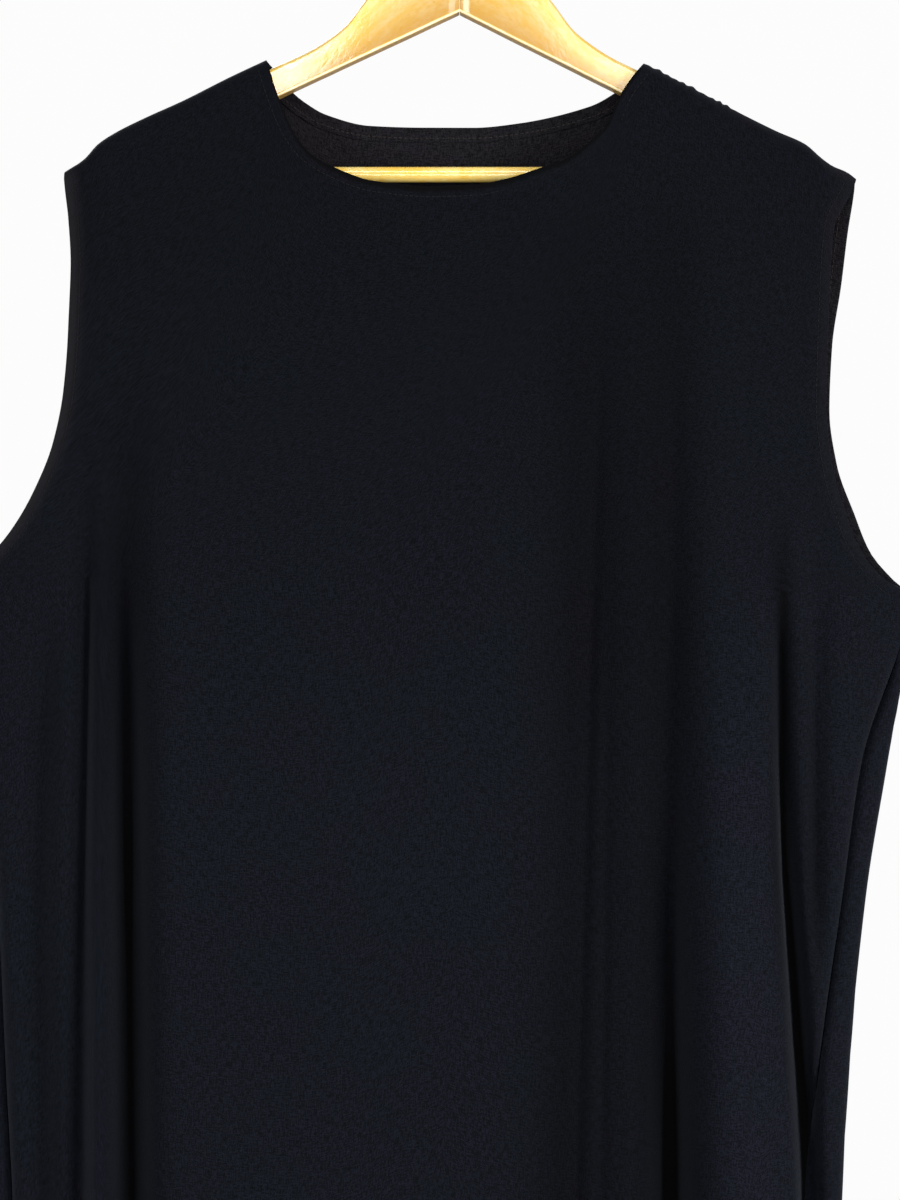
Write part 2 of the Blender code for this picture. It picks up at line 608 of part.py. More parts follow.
def main():
    for thing in list(bpy.data.objects):
        bpy.data.objects.remove(thing)
    parts = bpy.data.collections.new("sleeveless_dress_on_hanger")
    helpers = bpy.data.collections.new("cutters")
    for collection in (parts, helpers):
        bpy.context.scene.collection.children.link(collection)

    crepe = finish("black-navy crepe", (0.009, 0.010, 0.014), 0.75)
    facing_crepe = finish("facing crepe", (0.010, 0.010, 0.012), 0.80)
    maple = finish("varnished maple", (0.80, 0.55, 0.24), 0.35)
    steel = finish("plated steel", (0.62, 0.62, 0.64), 0.28, 1.0)

    front, back = panel_grids()
    add_wall("front", front, FRONT, CLOTH, crepe, parts)
    add_wall("back", back, BACK, CLOTH, crepe, parts)
    for name, rows, side in (("front", FRONT_NECK, FRONT), ("back", BACK_NECK, BACK)):
        add_neck_facing(f"neck_facing_{name}", rows, side, facing_crepe, parts)
        for end in ("left", "right"):
            add_armhole_facing(f"armhole_facing_{end}_{name}", end, side, facing_crepe, parts)

    socket = add_level("socket", SOCKET_RADIUS, -SOCKET_END, SOCKET_END, maple, helpers)
    shank_hole = add_cylinder("shank_hole", SHANK_HOLE, (0, 0, SHANK_FOOT - GAP), (0, 0, 0), steel, helpers)
    for cutter in (socket, shank_hole):
        cutter.hide_render = True
        cutter.display_type = "WIRE"
    for name, hand in (("left", -1), ("right", 1)):
        add_arm(f"hanger_arm_{name}", hand, maple, parts, (socket, shank_hole))
    add_bar(maple, parts)
    as_mesh(add_rod("hanger_hook", hook_route(), WIRE, steel, parts))


main()
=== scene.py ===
import math
from collections import namedtuple

import bpy
import numpy as np
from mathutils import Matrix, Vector


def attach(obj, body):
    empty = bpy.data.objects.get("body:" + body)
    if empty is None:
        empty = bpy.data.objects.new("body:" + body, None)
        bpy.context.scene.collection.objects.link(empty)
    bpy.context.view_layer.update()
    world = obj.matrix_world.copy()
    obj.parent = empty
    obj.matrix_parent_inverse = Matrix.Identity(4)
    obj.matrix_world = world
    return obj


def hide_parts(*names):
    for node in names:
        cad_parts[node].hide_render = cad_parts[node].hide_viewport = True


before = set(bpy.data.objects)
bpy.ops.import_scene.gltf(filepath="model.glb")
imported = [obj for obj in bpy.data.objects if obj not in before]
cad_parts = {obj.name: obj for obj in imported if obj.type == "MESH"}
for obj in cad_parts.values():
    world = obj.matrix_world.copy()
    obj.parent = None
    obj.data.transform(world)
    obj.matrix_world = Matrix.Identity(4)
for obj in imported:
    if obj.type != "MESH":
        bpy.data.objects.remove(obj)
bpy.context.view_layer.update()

# ---- The photograph's view ----
CAMERA_AT = (-0.00534, -1.6, -0.43873)
VIEW_HEIGHT = 0.67476  # what the frame takes in at the plane of the hanger, 1.6 m away
SENSOR = 36.0

# ---- The dress: sizes of its solids, repeated ----
GAP = 0.0003  # between front and back at the shoulders
UNDERARM = 0.4308  # underarm below the origin, in the middle
HEM = 1.275  # hem below the origin
MIDWAY, IN_VIEW = 0.600, 0.770  # depths at which the folds' lines are known, between their start and the hem
FRONT, BACK = -1.0, 1.0
NAMES = {FRONT: "front", BACK: "back"}
SIDE_FLATNESS = 4.0  # exponent of the hanging section: 2 is an ellipse, more has tighter side edges
SIDE_CALM = 0.010  # folds die out over this distance from the side edges
ARM_ROLL, TIP_ROLL = 0.010, 0.0055  # depth of the cloth's roll over a hanger arm, and past the arm's end
TIP_FROM, TIP_FADE = 0.198, 0.022  # distance out at which the one changes to the other, and over which
FALL = 0.095  # distance below the shoulder line over which the cloth leaves the hanger
TIP_LEFT, TIP_RIGHT = -0.2224, 0.2235  # ends of the shoulder seams
NECK_LEFT, NECK_RIGHT = -0.1085, 0.1035  # neck points, where neckline and shoulder line meet
UNDERARM_LEFT, UNDERARM_RIGHT = -0.4241, -0.4376  # heights of the two underarms
BOW_FADE = 3  # power by which an armhole's bow dies away towards the middle of a panel

# ---- The dress: sizes of its finer surface ----
CLOTH = 0.0010  # turned and pressed crepe, as its edges show
FACING = 0.0007
FACING_WIDTH = 0.0085
COLUMNS, UPPER_ROWS, LOWER_ROWS = 248, 90, 92  # faces across and down a panel, even numbers
UPPER_GATHER, LOWER_GATHER = 1.9, 1.15  # rows gather towards the top edge and the underarm by these powers
FOLD_SPAN = 0.011  # columns gather within this distance of a fold's line
FOLD_SHARE = 2.4  # by this share more than elsewhere
COLUMN_DEPTHS = (  # where columns are parted anew
    0.4308, 0.470, 0.520, 0.580, 0.650, 0.720, 0.800, 1.000, 1.275)
SIDE_SHARE = 0.060  # keeps columns apart at the side edges, where x stands still
NECK_ROLL_SHARE = 1.0  # columns gather by this share where the neckline rolls over the hanger
PUCKER_SHARE, PUCKER_RAMP = 2.6, 0.004  # and by this one along the puckered seam, from this far past its ends
SAMPLES, EDGE_SAMPLES, NECK_SAMPLES = 4001, 6001, 1201  # fine steps in which lengths are added up
RIM = np.radians((36, 72, 108, 144))  # a turned edge is a half round in these steps
SIDE_WEIGHT = 0.001  # how much of a corner's rim faces sideways, in metres of row spacing
SLOPE_STEP = 0.0004  # over which a face's slope is taken


def table(names, *rows):
    """Named columns. The first column rises, and the others are read by it."""
    return dict(zip(names.split(), np.array(rows, dtype=float).T))


SHOULDER = table(
    "out     left     right",
    (0.0000, -0.0850, -0.0850),
    (0.1035, -0.1330, -0.1372),
    (0.1290, -0.1449, -0.1502),
    (0.1550, -0.1580, -0.1638),
    (0.1780, -0.1684, -0.1752),
    (0.1940, -0.1765, -0.1824),
    (0.2035, -0.1829, -0.1905),
    (0.2100, -0.1902, -0.1950),
    (0.2160, -0.1946, -0.1974),
    (0.2235, -0.1983, -0.2017),
)
NECKLINES = {FRONT: table(
    "across   height",
    (-0.1085, -0.1353),
    (-0.1021, -0.1552),
    (-0.0935, -0.1760),
    (-0.0839, -0.1890),
    (-0.0676, -0.1990),
    (-0.0487, -0.2056),
    (-0.0170, -0.2088),
    (0.0080, -0.2080),
    (0.0252, -0.2048),
    (0.0447, -0.1985),
    (0.0609, -0.1920),
    (0.0738, -0.1818),
    (0.0823, -0.1731),
    (0.0908, -0.1547),
    (0.1035, -0.1372),
), BACK: table(
    "across   height",
    (-0.1085, -0.1353),
    (-0.0952, -0.1509),
    (-0.0879, -0.1570),
    (-0.0755, -0.1641),
    (-0.0507, -0.1702),
    (-0.0200, -0.1712),
    (0.0080, -0.1712),
    (0.0332, -0.1689),
    (0.0734, -0.1596),
    (0.0885, -0.1515),
    (0.1035, -0.1372),
)}
ARMHOLE = table(
    "down  front_left back_left front_right back_right",
    (0.00, -0.2224, -0.2224, 0.2235, 0.2235),
    (0.05, -0.2213, -0.2190, 0.2180, 0.2220),
    (0.12, -0.2194, -0.2165, 0.2099, 0.2195),
    (0.25, -0.2175, -0.2145, 0.2069, 0.2160),
    (0.40, -0.2183, -0.2153, 0.2053, 0.2110),
    (0.55, -0.2210, -0.2180, 0.2045, 0.2096),
    (0.68, -0.2270, -0.2245, 0.2077, 0.2138),
    (0.80, -0.2382, -0.2362, 0.2152, 0.2238),
    (0.89, -0.2503, -0.2490, 0.2243, 0.2325),
    (0.96, -0.2640, -0.2635, 0.2388, 0.2460),
    (1.00, -0.2740, -0.2740, 0.2561, 0.2561),
)
SECTIONS = table(
    "down   seam_left seam_right edge_left edge_right front  back",
    (0.130, -0.2740, 0.2561, -0.2740, 0.2561, 0.014, 0.0110),
    (0.210, -0.2740, 0.2561, -0.2740, 0.2561, 0.020, 0.0140),
    (0.340, -0.2740, 0.2561, -0.2740, 0.2561, 0.021, 0.0160),
    (UNDERARM, -0.2740, 0.2561, -0.2740, 0.2561, 0.023, 0.0190),
    (0.467, -0.2707, 0.2466, -0.2750, 0.2522, 0.024, 0.0200),
    (0.529, -0.2650, 0.2252, -0.2730, 0.2410, 0.026, 0.0220),
    (0.607, -0.2584, 0.2142, -0.2700, 0.2284, 0.028, 0.0240),
    (0.711, -0.2539, 0.1997, -0.2665, 0.2188, 0.031, 0.0265),
    (0.774, -0.2502, 0.1943, -0.2650, 0.2152, 0.033, 0.0280),
    (0.888, -0.2460, 0.1900, -0.2635, 0.2129, 0.036, 0.0310),
    (1.057, -0.2426, 0.1860, -0.2625, 0.2107, 0.040, 0.0350),
    (1.275, -0.2404, 0.1840, -0.2620, 0.2107, 0.044, 0.0390),
)

# Folds run down from `start` and are full at `full`. Then come the places across of a fold's line, at its
# start, midway, at the foot of the view and at the hem. Depth is inwards, and the widths are to each side. A
# row with the depth's sign turned ends an earlier row of the same line. Creases are the fine folds that only
# this surface has, and fall off by a lower power, with a sharper line.
Fold = namedtuple("Fold", "name start full at_start midway in_view at_hem depth left right")


def fold_rows(*rows):
    """A fold for each row, in the order of its named fields."""
    return [Fold(*row) for row in rows]


CREASE_POWER = 1.5
FOLDS = {FRONT: fold_rows(
    ("left edge swell", 0.420, 0.520, -0.2300, -0.2345, -0.2310, -0.2330, 0.006, 0.009, 0.010),
    ("left inner valley", 0.300, 0.480, -0.2064, -0.2100, -0.2112, -0.2100, 0.008, 0.0065, 0.0066),
    ("left ridge", 0.400, 0.640, -0.1960, -0.1965, -0.1965, -0.1930, -0.0060, 0.008, 0.007),
    ("left deep valley", 0.250, 0.580, -0.1880, -0.1866, -0.1836, -0.1760, 0.021, 0.0100, 0.0135),
    ("middle swell", 0.200, 0.500, 0.0780, 0.0730, 0.0700, 0.0690, 0.009, 0.032, 0.020),
    ("right valley", 0.160, 0.740, 0.1175, 0.1155, 0.1170, 0.1140, 0.019, 0.019, 0.015),
    ("right ridge", 0.370, 0.640, 0.150, 0.150, 0.154, 0.150, -0.006, 0.017, 0.030),
    ("right lapping fold", 0.440, 0.740, 0.1780, 0.1822, 0.1946, 0.1855, 0.016, 0.0056, 0.0066),
), BACK: fold_rows(
    ("left inner valley", 0.380, 0.620, -0.2120, -0.2140, -0.2160, -0.2140, 0.010, 0.008, 0.009),
    ("left deep valley", 0.300, 0.660, -0.1660, -0.1690, -0.1700, -0.1640, 0.018, 0.011, 0.014),
    ("left ridge", 0.400, 0.700, -0.1200, -0.1240, -0.1260, -0.1220, -0.006, 0.020, 0.018),
    ("middle swell", 0.280, 0.620, -0.0460, -0.0500, -0.0520, -0.0550, 0.007, 0.026, 0.030),
    ("right swell", 0.300, 0.640, 0.0660, 0.0620, 0.0600, 0.0580, 0.009, 0.018, 0.020),
    ("right deep valley", 0.280, 0.660, 0.1380, 0.1360, 0.1340, 0.1280, 0.018, 0.013, 0.011),
    ("right ridge", 0.400, 0.700, 0.1700, 0.1660, 0.1630, 0.1580, -0.006, 0.012, 0.012),
    ("right inner valley", 0.400, 0.600, 0.1920, 0.1880, 0.1860, 0.1820, 0.010, 0.007, 0.008),
)}
CREASES = {FRONT: fold_rows(
    ("core of the inner valley", 0.350, 0.480, -0.2066, -0.2102, -0.2112, -0.2100, 0.0040, 0.0022, 0.0032),
    ("core of the deep valley", 0.360, 0.600, -0.1884, -0.1868, -0.1838, -0.1765, 0.0060, 0.0056, 0.0064),
    ("line of the left edge swell", 0.430, 0.500, -0.2290, -0.2350, -0.2315, -0.2330, 0.0022, 0.0045, 0.0060),
    ("outer line of the middle swell", 0.300, 0.520, 0.0600, 0.0570, 0.0540, 0.0540, 0.0026, 0.0060, 0.0070),
    ("line of the middle swell", 0.240, 0.480, 0.0800, 0.0697, 0.0650, 0.0650, 0.0044, 0.0060, 0.0042),
    ("its second line", 0.360, 0.620, 0.0830, 0.0810, 0.0785, 0.0760, 0.0042, 0.0040, 0.0060),
    ("its third line", 0.380, 0.600, 0.0910, 0.0900, 0.0880, 0.0870, 0.0018, 0.0050, 0.0060),
    ("core of the right valley", 0.540, 0.790, 0.1190, 0.1172, 0.1180, 0.1150, 0.0150, 0.0080, 0.0076),
    ("line of the right valley", 0.280, 0.500, 0.1190, 0.1200, 0.1220, 0.1220, 0.0030, 0.0050, 0.0050),
    ("start of the lapping fold", 0.428, 0.475, 0.1780, 0.1810, 0.1936, 0.1850, 0.0100, 0.0052, 0.0066),
    ("where its edge takes over", 0.520, 0.620, 0.1780, 0.1810, 0.1936, 0.1850, -0.0100, 0.0052, 0.0066),
    ("edge of the lapping fold", 0.500, 0.620, 0.1780, 0.1826, 0.1952, 0.1850, 0.0160, 0.0020, 0.0064),
    ("where its edge softens", 0.600, 0.740, 0.1780, 0.1826, 0.1952, 0.1850, -0.0065, 0.0020, 0.0064),
    ("line beside the right seam", 0.370, 0.500, 0.1990, 0.1992, 0.2030, 0.2000, 0.0080, 0.0052, 0.0058),
    ("end of that line", 0.595, 0.680, 0.1992, 0.1992, 0.2030, 0.2000, -0.0080, 0.0052, 0.0058),
    ("end of the inner core", 0.540, 0.680, -0.2096, -0.2102, -0.2112, -0.2100, -0.0028, 0.0022, 0.0032),
), BACK: fold_rows(
    ("core of the left valley", 0.420, 0.660, -0.168, -0.171, -0.171, -0.166, 0.0040, 0.0050, 0.0070),
    ("soft line", 0.380, 0.600, -0.088, -0.090, -0.092, -0.095, 0.0012, 0.0070, 0.0060),
    ("second soft line", 0.440, 0.640, 0.018, 0.014, 0.012, 0.008, 0.0010, 0.0060, 0.0080),
    ("core of the right valley", 0.430, 0.650, 0.139, 0.137, 0.136, 0.130, 0.0045, 0.0060, 0.0050),
    ("line at the right edge", 0.450, 0.620, 0.206, 0.202, 0.200, 0.197, 0.0014, 0.0050, 0.0040),
)}
# Painted shade: stretches of the front that lie in the shade of folds are painted darker. Here the depth is
# how much, on the scale of HOLLOW.
SHADES = {FRONT: fold_rows(
    ("beside the middle swell", 0.180, 0.320, 0.0700, 0.0640, 0.0590, 0.0590, 0.50, 0.020, 0.026),
    ("top of the right valley", 0.170, 0.280, 0.1190, 0.1180, 0.1175, 0.1150, 0.40, 0.026, 0.018),
    ("its end", 0.440, 0.560, 0.1190, 0.1180, 0.1175, 0.1150, -0.40, 0.026, 0.018),
    ("foot of the swell's shade", 0.600, 0.740, 0.0570, 0.0560, 0.0540, 0.0540, 0.45, 0.016, 0.010),
    ("foot of the right valley", 0.640, 0.740, 0.1180, 0.1176, 0.1190, 0.1150, 1.30, 0.009, 0.012),
    ("core of the deep valley", 0.480, 0.600, -0.1884, -0.1866, -0.1830, -0.1765, 0.90, 0.007, 0.010),
    ("lip of the lapping fold", 0.470, 0.570, 0.1755, 0.1783, 0.1905, 0.1850, 2.00, 0.0045, 0.0040),
    ("where the lip comes out", 0.580, 0.740, 0.1755, 0.1783, 0.1905, 0.1850, -2.00, 0.0045, 0.0040),
    ("core of the lapping fold", 0.375, 0.450, 0.1788, 0.1828, 0.1955, 0.1850, 2.60, 0.0046, 0.0044),
    ("right side of the lapping fold", 0.440, 0.480, 0.1925, 0.1945, 0.2070, 0.1970, 0.28, 0.005, 0.005),
    ("beside the right seam", 0.470, 0.580, 0.1995, 0.1990, 0.2030, 0.2000, 1.50, 0.0050, 0.0060),
    ("its end beside the seam", 0.600, 0.670, 0.1995, 0.1990, 0.2030, 0.2000, -1.50, 0.0050, 0.0060),
), BACK: ()}
SEAM_GROOVE, SEAM_GROOVE_WIDTH = 0.0060, 0.0030  # the front lies this much lower along its side seams
SEAM_GROOVE_FROM, SEAM_GROOVE_FULL = 0.435, 0.490

# Marks on the cloth: painted shade in folds and at the rolled neck edge, and brown edges with painted light
HOLLOW = 0.0085  # a fold this deep is marked 1 in the painted shade
HOLLOW_SPREAD = 1.15  # its mark is this much wider than the fold
RIDGE_MOST, HOLLOW_MOST = -0.7, 2.0  # and stays between these; a ridge below 0 is painted lighter
EDGE_MARKED = 0.012  # width of a browned edge, which is partly painted light
NECK_MARK, LEFT_MARK, RIGHT_MARK = 0.05, 0.60, 0.15  # how brown the neckline and the armholes are, and how much painted light they carry
LEFT_SHOULDER_MARK, RIGHT_SHOULDER_MARK = 0.20, 0.55  # and the shoulder seams
NECK_SHADE, NECK_SHADED = 2.6, 0.0050  # painted shade on a rolled neck edge, this far in

# Sewing
EDGE_CURL, EDGE_CURL_WIDTH = 0.0006, 0.0050  # a faced edge is drawn in by this much, over this width
CURL_WANDER, CURL_WAVE, CURL_SEED = 0.35, 0.05, 3  # and unevenly, by this share
PUCKER_FROM, PUCKER_TO = 0.102, 0.160  # stretch of the right shoulder seam that is drawn up
PUCKER_IN, PUCKER_OUT = 0.006, 0.012  # lengths over which it starts and ends
PUCKER_PITCH, PUCKER_HEIGHT, PUCKER_FADE = 0.0050, 0.0010, 0.0060
PUCKER_DRIFT, PUCKER_DRIFTS = 1.3, 260  # its ripples crowd and part by this much, this often
PUCKER_SWELL = 345.0  # their height rises and falls this often
PUCKER_LEAST = 0.24  # down to this share
DRAPE, DRAPE_WAVE, DRAPE_FROM = 0.00035, 0.11, 0.05  # slow unevenness of the hanging cloth
DRAPE_SEED = {FRONT: 11, BACK: 12}
HEM_STITCH, HEM_GROOVE, HEM_GROOVE_WIDTH = 0.030, 0.00030, 0.0012  # the hem's stitching shows as a faint line
WANDER_WAVES, WANDER_LENGTHS, WANDER_STRETCH = 7, (0.7, 1.6), 0.45
STITCH_IN = 0.0060  # from the edge
STITCH_PITCH, STITCH_LENGTH, STITCH_RADIUS = 0.0030, 0.0023, 0.00024
STITCH_PROUD = 0.00008  # the middle of a stitch lies this far off the cloth
STITCH_SIDES, STITCH_PARTS, STITCH_BLUNT = 6, (-1.0, -0.7, 0.0, 0.7, 1.0), 0.04
NECK_TRIM = 0.0012  # a neck facing ends this far short of the neck points
NECK_STEPS, ARMHOLE_STEPS, FACING_STEPS = 160, 120, 6
ARMHOLE_SPAN = (0.006, 0.975)  # share of the way down at which an armhole's facing starts and ends
FACING_FROM, FACING_GAP = 0.0004, 0.0001  # a facing's start beside the edge, and its gap under the cloth
SHOULDER_CLEAR = 0.0015  # facings stay this far under the shoulder line

# Hanger: top and bottom edges of an arm at a distance out from the middle, before its lean.
ARM = table(
    "out     top      bottom",
    (0.0000, -0.0685, -0.1090),
    (0.0120, -0.0690, -0.1148),
    (0.0220, -0.0715, -0.1197),
    (0.0300, -0.0775, -0.1236),
    (0.0400, -0.0880, -0.1284),
    (0.0520, -0.1027, -0.1342),
    (0.0640, -0.1183, -0.1400),
    (0.0740, -0.1262, -0.1449),
    (0.0840, -0.1325, -0.1497),
    (0.1020, -0.1411, -0.1585),
    (0.1500, -0.1629, -0.1818),
    (0.1780, -0.1757, -0.1962),
    (0.1840, -0.1786, -0.2040),
    (0.1900, -0.1815, -0.2092),
    (0.2000, -0.1875, -0.2106),
    (0.2035, -0.1905, -0.2098),
    (0.2060, -0.1935, -0.2074),
    (0.2080, -0.1985, -0.2024),
)
ARM_STATIONS, JOINT_STATIONS = 150, 13
ARM_HALF = 0.006  # half its thickness
JOINT = 0.0003  # gap between the halves
LEAN = 0.0175  # slope by which the whole hanger hangs down to the right
ROUND_TOP, ROUND_BOTTOM, ROUND_STEPS = 0.0018, 0.0014, 6  # its rounded edges
ROUND_MOST = 0.98  # of half its height, at the thin end
FLAT_LEAD = 0.0005  # from a round to the point beside it on the flat
TIP_THIN, TIP_THIN_FROM, TIP_THIN_OVER = 0.45, 0.200, 0.008  # an arm's end is thinner by this share
JOINT_ROUND, JOINT_DEPTH = 0.008, 0.00045  # the halves are sanded down a little beside their joint
LOWER_STAIN_AND_PAINTED_LIGHT = (-0.8, -0.3, 0.9, 1, 0.8, 0.2, -0.5, -0.9, -0.7)  # face to underside: stain, painted reflection on the bevel, painted shade on the underside
STAINED = (0, 0, 0, 0, -0.2, -0.5, -0.6, -0.5, 0)  # along an upper edge, top to face
GRAIN_START, GRAIN_TURNED = 0.3, 0.8  # where the arms' grain starts, and its scale over the edges
BAR_RADIUS, BAR_HEIGHT, BAR_LEFT, BAR_RIGHT = 0.0044, -0.1996, -0.1770, 0.1690
TENON_RADIUS, TENON_END = 0.0032, 0.1945
TENON_TIP = table("inwards radius", (0, 0.0026), (0.0006, TENON_RADIUS))
BAR_STEP = table(
    "inwards   radius",
    (-0.0006, TENON_RADIUS),
    (0, TENON_RADIUS),
    (0.00004, 0.0037),
    (0.0005, 0.0042),
    (0.0014, BAR_RADIUS),
)
BAR_SIDES, BAR_PLAIN, BAR_GRAIN_START = 48, 40, 1.7
WIRE, BOW = 0.0020, 0.0190  # radius of the hook's wire, and of the room inside its bow
SHANK_FOOT, SHANK_TOP = -0.0900, -0.0540
BOW_FROM, BOW_TO = math.radians(-50), math.radians(205)
BEND_PULL = 0.0085  # how far the bend's ends hold their direction
SHANK_STEPS, BEND_STEPS, BOW_STEPS, WIRE_SIDES = 12, 30, 90, 24
WIRE_TIP = 0.05  # its rounded end closes to this share

# Stage
FLOOR_HEIGHT, FLOOR_REACH, FLOOR_SIDES = -1.34, 2.2, 96
ROOM_STRENGTH = 0.18
Light = namedtuple("Light", "name at towards size watts")
LIGHTS = (
    Light("right", (2.15, -1.5, -0.35), (0, 0, -0.45), 0.9, 54.0),
    Light("left", (-2.15, -1.5, -0.35), (0, 0, -0.45), 0.9, 26.5),
    Light("front", (0.2, -3.2, -0.75), (0, 0, -0.45), 1.0, 27.0),
    Light("above", (0.1, -1.2, 0.75), (0, 0, -0.12), 0.5, 8.0),
    # The varnish of the hanger's arms mirrors these two, at its ends and beside its joint.
    Light("left window", (-0.36, -3.2, 0.48), (0, 0, -0.45), 0.3, 4.0),
    Light("right window", (0.33, -3.2, 0.48), (0, 0, -0.45), 0.3, 1.7),
    Light("behind", (-1.2, 2.6, 0.8), (0, 0, -0.5), 1.6, 50.0),
)


# ---- Curves and faces of the dress ----
def read(rows, name, at):
    """Smooth curve through a table's column: cubic pieces that share slopes, harmonic means of their
    neighbours', so that nothing overshoots. It is level past both ends."""
    keys, values = next(iter(rows.values())), rows[name]
    gap = np.diff(keys)
    slope = np.diff(values) / gap
    turn = np.zeros_like(values)
    turn[0], turn[-1] = slope[0], slope[-1]
    product = slope[:-1] * slope[1:]
    same = product > 0
    turn[1:-1][same] = 2 * product[same] / (slope[:-1] + slope[1:])[same]
    at = np.clip(at, keys[0], keys[-1])
    cell = np.clip(np.searchsorted(keys, at, side="right") - 1, 0, len(gap) - 1)
    part = (at - keys[cell]) / gap[cell]
    start = (1 + 2 * part) * (1 - part) ** 2 * values[cell] + part * (1 - part) ** 2 * gap[cell] * turn[cell]
    end = part**2 * (3 - 2 * part) * values[cell + 1] - part**2 * (1 - part) * gap[cell] * turn[cell + 1]
    return start + end


def ease(share):
    """0 to 1, level at both ends: 3 s squared less 2 s cubed."""
    share = np.clip(share, 0, 1)
    return share * share * (3 - 2 * share)


def bell(away, width):
    """1 at the middle, falling off as exp(-(away / width) squared)."""
    return np.exp(-((away / width) ** 2))


def ridge(x):
    """Height of the shoulder line."""
    return np.where(x < 0, read(SHOULDER, "left", abs(x)), read(SHOULDER, "right", abs(x)))


def section(z):
    """Middle and half width of the hanging section."""
    left, right = read(SECTIONS, "edge_left", -z), read(SECTIONS, "edge_right", -z)
    return (left + right) / 2, (right - left) / 2


def fold_line(fold, z):
    """Where a fold's line lies across, at a height."""
    places = fold.at_start, fold.midway, fold.in_view, fold.at_hem
    return np.interp(-z, (fold.start, MIDWAY, IN_VIEW, HEM), places)


def folds(rows, x, z, power=2.0, spread=1.0):
    """Sum of the folds, each exp(-|away / width| to a power) across its line, with its own width to each
    side, and eased in from its start. Spread widens them all."""
    total = np.zeros(np.broadcast(x, z).shape)
    for fold in rows:
        away = x - fold_line(fold, z)
        width = np.where(away < 0, fold.left, fold.right) * spread
        full = ease((-z - fold.start) / (fold.full - fold.start))
        total += fold.depth * full * np.exp(-np.abs(away / width) ** power)
    return total


def seam_groove(x, z):
    """The two side seams draw the cloth in along their lines, below the underarms."""
    full = ease((-z - SEAM_GROOVE_FROM) / (SEAM_GROOVE_FULL - SEAM_GROOVE_FROM))
    return SEAM_GROOVE * full * sum(
        np.exp(-np.abs((x - read(SECTIONS, name, -z)) / SEAM_GROOVE_WIDTH) ** CREASE_POWER)
        for name in ("seam_left", "seam_right"))


def face(x, z, side):
    """Y of the outer face. Depth is the roll over the hanger's arm, a quarter circle, easing over the fall
    into the hanging section, a superellipse; less the folds, which calm towards the side edges."""
    below = ridge(x) - z
    roll = ARM_ROLL + (TIP_ROLL - ARM_ROLL) * ease((abs(x) - TIP_FROM) / TIP_FADE)
    over = np.sqrt(1 - (1 - np.clip(below / roll, 0, 1)) ** 2)
    middle, half = section(z)
    out = np.clip(abs(x - middle) / half, 0, 1)
    hanging = read(SECTIONS, NAMES[side], -z) * np.sqrt(1 - out**SIDE_FLATNESS)
    free = ease(below / FALL)
    calm = ease((1 - out) * half / SIDE_CALM)
    inwards = folds(FOLDS[side], x, z) + folds(CREASES[side], x, z, CREASE_POWER)
    if side == FRONT:
        inwards = inwards + seam_groove(x, z)
    depth = over * ((1 - free) * roll + free * hanging) - inwards * calm
    return side * np.maximum(depth, GAP / 2)


def seam_turns(z, side):
    """How far round the section a panel's two edges lie, in quarter turns: 1 is the side edge."""
    middle, half = section(z)
    left = np.arcsin(np.clip((middle - read(SECTIONS, "seam_left", -z)) / half, 0, 1)) * 2 / math.pi
    right = np.arcsin(np.clip((read(SECTIONS, "seam_right", -z) - middle) / half, 0, 1)) * 2 / math.pi
    return (left, right) if side == FRONT else (2 - left, 2 - right)


def round_section(share, z, side):
    """A point of a panel below the underarm. Share is -1 at its left seam, 1 at its right; x goes as the sine
    of the turn, and past the side edge the back lies on the front's face."""
    left, right = seam_turns(z, side)
    turn = share * np.where(share < 0, left, right)
    middle, half = section(z)
    x = middle + half * np.sin(turn * math.pi / 2)
    return x, np.where(abs(turn) > 1, face(x, z, FRONT), face(x, z, side))


# ---- The panels ----
def even_steps(weight, at, count):
    """Places along `at` that part its weight evenly."""
    total = np.concatenate(([0], np.cumsum((weight[1:] + weight[:-1]) / 2 * np.diff(at))))
    return np.interp(np.linspace(0, total[-1], count + 1), total, at)


def shares(side, height):
    """Columns across a panel: even at a height but for its side edges, and closer together at its folds."""
    fine = np.linspace(-1, 1, SAMPLES)
    x, _ = round_section(fine, np.full_like(fine, height), side)
    weight = abs(np.gradient(x, fine))
    for fold in FOLDS[side]:
        weight = weight * (1 + FOLD_SHARE * bell(x - fold_line(fold, height), FOLD_SPAN))
    return even_steps(weight + SIDE_SHARE, fine, COLUMNS)


def top_edge(side, base):
    """Shoulder seam, neckline and shoulder seam as one line, with more columns where it rolls over the hanger
    and where the right shoulder is puckered, and a column on each neck point."""
    rows = NECKLINES[side]
    fine = np.linspace(TIP_LEFT, TIP_RIGHT, EDGE_SAMPLES)
    in_neck = (fine > NECK_LEFT) & (fine < NECK_RIGHT)
    height = np.where(in_neck, read(rows, "height", fine), ridge(fine))
    rolled = 1 + NECK_ROLL_SHARE * bell(ridge(fine) - height, ARM_ROLL) * in_neck
    drawn = ease((fine - PUCKER_FROM) / PUCKER_RAMP) * ease((PUCKER_TO - fine) / PUCKER_RAMP)
    weight = np.hypot(1, np.gradient(height, fine) / 2) * rolled * (1 + PUCKER_SHARE * drawn)
    x = even_steps(weight, fine, COLUMNS)
    for point in (NECK_LEFT, NECK_RIGHT):
        x[abs(x - point).argmin()] = point
    neck = (x > NECK_LEFT) & (x < NECK_RIGHT)
    return x, np.where(neck, read(rows, "height", x), ridge(x)), neck


